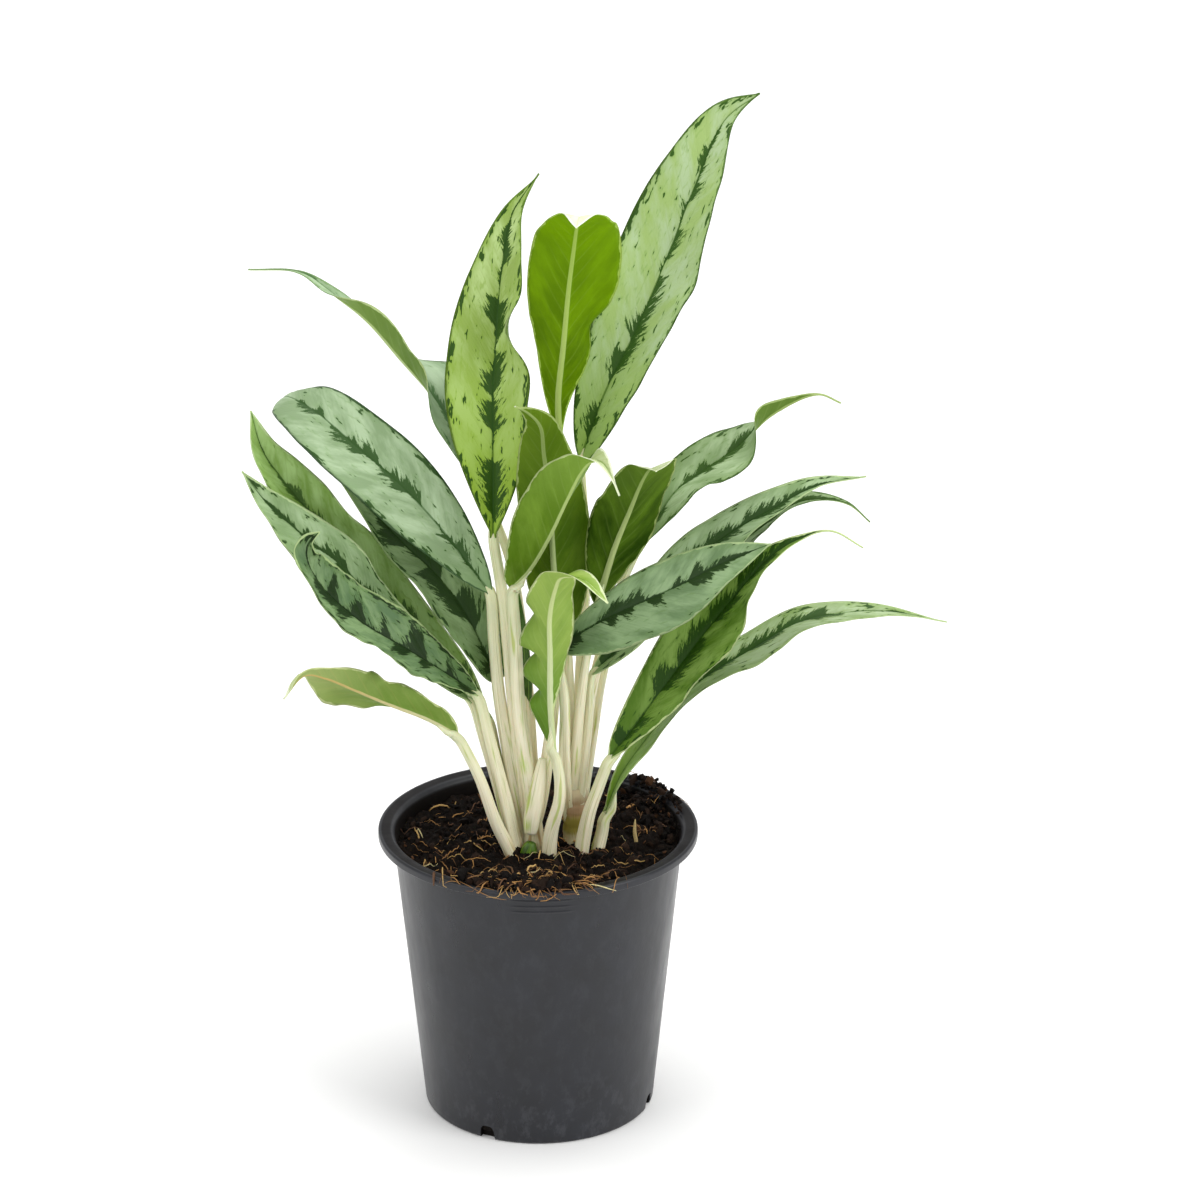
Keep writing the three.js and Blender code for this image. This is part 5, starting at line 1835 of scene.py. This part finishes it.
    def chip(self) -> Surface:
        """Build the pale splinter that stands in the soil on the right: a thin twisted sliver."""
        share = np.linspace(0, 1, self.splinter_rows)
        centre, ahead, _ = self.splinter.by_length(share)
        side = unit(np.cross(ahead, np.array([0.2, 1.0, 0.1])))
        other = np.cross(side, ahead)
        turn = full_turn(self.splinter_sides)
        wide = 0.75 * np.sin(np.pi * np.clip(share * 0.9 + 0.08, 0, 1)) ** 0.6
        ring = side[:, None] * np.cos(turn)[:, None] * wide[:, None, None]
        ring = ring + other[:, None] * np.sin(turn)[:, None] * (0.35 * wide)[:, None, None]
        rings = centre[:, None] + ring
        return Surface.from_rings(rings, {"tone": np.full(rings.shape[:2] + (1,), 0.97)})

    def bed_material(self, noise: bpy.types.NodeTree) -> bpy.types.Material:
        """Make the moist dark soil, with crumbs and threads of coir in its tone and relief."""
        made = Finish("soil_dark")
        w = made.wiring
        grains = w.group(noise, Size=420.0)
        tone = w.blend(w.scale(grains["Broad"], 0.35, 0.65, 0, 1), colour("0a0603"), colour("1b110b"))
        threads = w.node("ShaderNodeTexWave", wave_type="BANDS", bands_direction="DIAGONAL")
        w.feed(w.place(), threads.inputs["Vector"])
        threads.inputs["Scale"].default_value = 240.0
        threads.inputs["Distortion"].default_value = 22.0
        threads.inputs["Detail"].default_value = 3.0
        thread = w.times(w.rise(threads.outputs["Fac"], 0.93, 0.99), w.rise(grains["Broad"], 0.5, 0.62))
        tone = w.blend(w.times(thread, 0.4), tone, colour("4a3520"))
        height = w.plus(grains["Fine"], w.times(grains["Broad"], 1.5))
        rough = w.scale(grains["Fine"], 0.3, 0.7, 0.75, 0.95)
        relief = w.bump(height, 0.9, 0.0012)
        return made.set(Base_Color=tone, Roughness=rough, Specular_IOR_Level=0.15, Normal=relief)

    def crumb_material(self, noise: bpy.types.NodeTree) -> bpy.types.Material:
        """Make the crumbs: near black to mid brown, from the tone that each one carries."""
        made = Finish("soil_crumbs_brown")
        w = made.wiring
        grains = w.group(noise, Size=900.0)
        tone_value = w.value("tone")
        tone = w.blend(w.rise(tone_value, 0.3, 1.0), colour("0b0604"), colour("2e1e14"))
        tone = w.blend(w.rise(tone_value, 0.94, 0.98), tone, colour("5c3d26"))
        tone = w.blend(w.times(grains["Fine"], 0.35), tone, colour("0c0705"))
        rough = w.scale(grains["Broad"], 0.3, 0.7, 0.7, 0.95)
        relief = w.bump(grains["Fine"], 0.6, 0.0006)
        return made.set(Base_Color=tone, Roughness=rough, Specular_IOR_Level=0.15, Normal=relief)

    def fibre_material(self, noise: bpy.types.NodeTree) -> bpy.types.Material:
        """Make the coir: golden tan to dark brown, with one pale tone for the splinter."""
        made = Finish("coir_golden")
        w = made.wiring
        grains = w.group(noise, Size=700.0)
        tone_value = w.value("tone")
        tone = w.blend(w.rise(tone_value, 0.1, 0.75), colour("56351a"), colour("b88648"))
        tone = w.blend(w.rise(tone_value, 0.75, 0.9), tone, colour("cfa966"))
        tone = w.blend(w.rise(tone_value, 0.965, 0.975), tone, colour("dccf96"))
        tone = w.blend(w.scale(grains["Fine"], 0.4, 0.7, 0, 0.5), tone, colour("3a2614"))
        rough = w.scale(grains["Broad"], 0.3, 0.7, 0.55, 0.8)
        return made.set(Base_Color=tone, Roughness=rough, Normal=w.bump(grains["Fine"], 0.4, 0.0003))

    def build(self, noise: bpy.types.NodeTree) -> None:
        """Build the bed, the crumbs, the fibres and the splinter."""
        bed = self.bed().as_object("soil_bed", [self.bed_material(noise)])
        settle(bed, "potting_soil", "soil")
        crumbs = self.lumps().as_object("soil_crumbs", [self.crumb_material(noise)], smooth=False)
        settle(crumbs, "potting_soil")
        coir = self.fibre_material(noise)
        loose = self.strands(self.fibres, False, self.seed + 9)
        heaped = self.strands(self.heap_fibres, True, self.seed + 10)
        strands = Surface.joined([loose, heaped])
        fibres = strands.as_object("coir_fibres", [coir])
        settle(fibres, "potting_soil")
        chip = self.chip().as_object("pale_splinter", [coir])
        settle(chip, "potting_soil")
        sizes = [len(piece.data.polygons) for piece in (crumbs, fibres)]
        LOG.info("soil: %d crumb faces, %d fibre faces", *sizes)


# ---- studio ---------------------------------------------------------------------------------


@dataclass(frozen=True)
class SoftBox:
    """A square area light that looks at the plant, placed in metres."""

    name: str
    place: Point
    size: float
    power: float

    def build(self, target: Point) -> None:
        """Hang the light and turn it towards the target."""
        light = bpy.data.lights.new(self.name, "AREA")
        light.shape = "SQUARE"
        light.size = self.size
        light.energy = self.power
        made = bpy.data.objects.new(self.name, light)
        made.location = self.place
        run = unit(np.array(target) - np.array(self.place))
        made.rotation_euler = (math.acos(-run[2]), 0.0, math.atan2(-run[0], run[1]))
        bpy.context.scene.collection.objects.link(made)


@dataclass(frozen=True)
class Studio:
    """The photograph's camera, a pale floor and soft light."""

    camera: PhotoCamera = CAMERA
    sensor_mm: float = 36.0
    clip_end: float = 50.0
    world_light: float = 0.68
    floor_z: float = -0.05
    floor_rings: tuple[float, ...] = (0.2, 500.0, 2000.0, 6000.0)
    floor_sides: int = 64
    target: Point = (0.0, 0.0, 0.2)
    lights: tuple[SoftBox, ...] = (
        SoftBox("softbox_left", (-1.5, -0.9, 1.3), 1.1, 9.0),
        SoftBox("softbox_right", (1.6, -0.9, 1.2), 1.1, 19.0),
        SoftBox("softbox_top", (0.1, 0.3, 2.0), 1.4, 22.0),
    )

    def build(self) -> None:
        """Set up the camera, floor, lights and sky."""
        scene = bpy.context.scene
        optics = bpy.data.cameras.new("camera")
        optics.sensor_fit = "HORIZONTAL"
        optics.sensor_width = self.sensor_mm
        optics.lens = self.camera.focal_px / self.camera.photo_px * self.sensor_mm
        optics.clip_end = self.clip_end
        holder = bpy.data.objects.new("camera", optics)
        holder.location = tuple(v * MM for v in self.camera.place)
        holder.rotation_euler = (math.radians(90.0 - self.camera.pitch), 0.0, 0.0)
        scene.collection.objects.link(holder)
        scene.camera = holder
        for light in self.lights:
            light.build(self.target)
        self.build_floor()
        sky = bpy.data.worlds.new("sky")
        sky.use_nodes = True
        sky.node_tree.nodes["Background"].inputs["Color"].default_value = (1.0, 1.0, 1.0, 1.0)
        sky.node_tree.nodes["Background"].inputs["Strength"].default_value = self.world_light
        scene.world = sky
        scene.view_settings.view_transform = "Standard"

    def build_floor(self) -> None:
        """Lay the pale floor: a wide flat disc of rings, just under the pot."""
        turn = full_turn(self.floor_sides)
        reach = np.array(self.floor_rings)[:, None] + 0 * turn[None, :]
        rings = np.stack([reach * np.cos(turn), reach * np.sin(turn), self.floor_z + 0 * reach], -1)
        quads = ring_quads(*reach.shape)[:, ::-1]
        first = np.arange(self.floor_sides)
        middle = np.stack([np.full(self.floor_sides, reach.size), first, np.roll(first, -1)], -1)
        points = np.vstack([rings.reshape(-1, 3), [[0.0, 0.0, self.floor_z]]])
        made = Finish("floor_pale")
        w = made.wiring
        soft = w.noise(w.place(), 3.0, 2.0, 0.5)
        tone = w.blend(soft, colour("f4f4f3"), colour("f8f8f7"))
        away = w.node("ShaderNodeVectorMath", operation="LENGTH")
        w.feed(w.place(), away.inputs[0])
        # painted light: the floor turns whiter and glows more towards the distance, where the lamps reach
        # less, and glows a little everywhere, which lifts the shade round the pot
        tone = w.blend(w.rise(away.outputs["Value"], 0.15, 1.2), tone, colour("ffffff"))
        painted_floor_glow = w.rise(away.outputs["Value"], 0.5, 3.0, 0.25)
        paper = made.set(
            Base_Color=tone,
            Roughness=0.85,
            Emission_Color=colour("ffffff"),
            Emission_Strength=w.plus(painted_floor_glow, 0.07),
        )
        skin = Surface(points, quads, middle, np.zeros(len(quads), int), {})
        skin.as_object("floor", [paper])


def main() -> None:
    """Build the studio and every piece of the plant in its pot."""
    logging.basicConfig(level=logging.INFO, format="%(name)s: %(message)s")
    Studio().build()
    noise = tone_noise()
    pot = Pot()
    pot.build(noise)
    Soil(pot).build(noise)
    Stalks(LEAVES).build()
    Foliage(LEAVES).build()


if __name__ == "__main__":
    main()
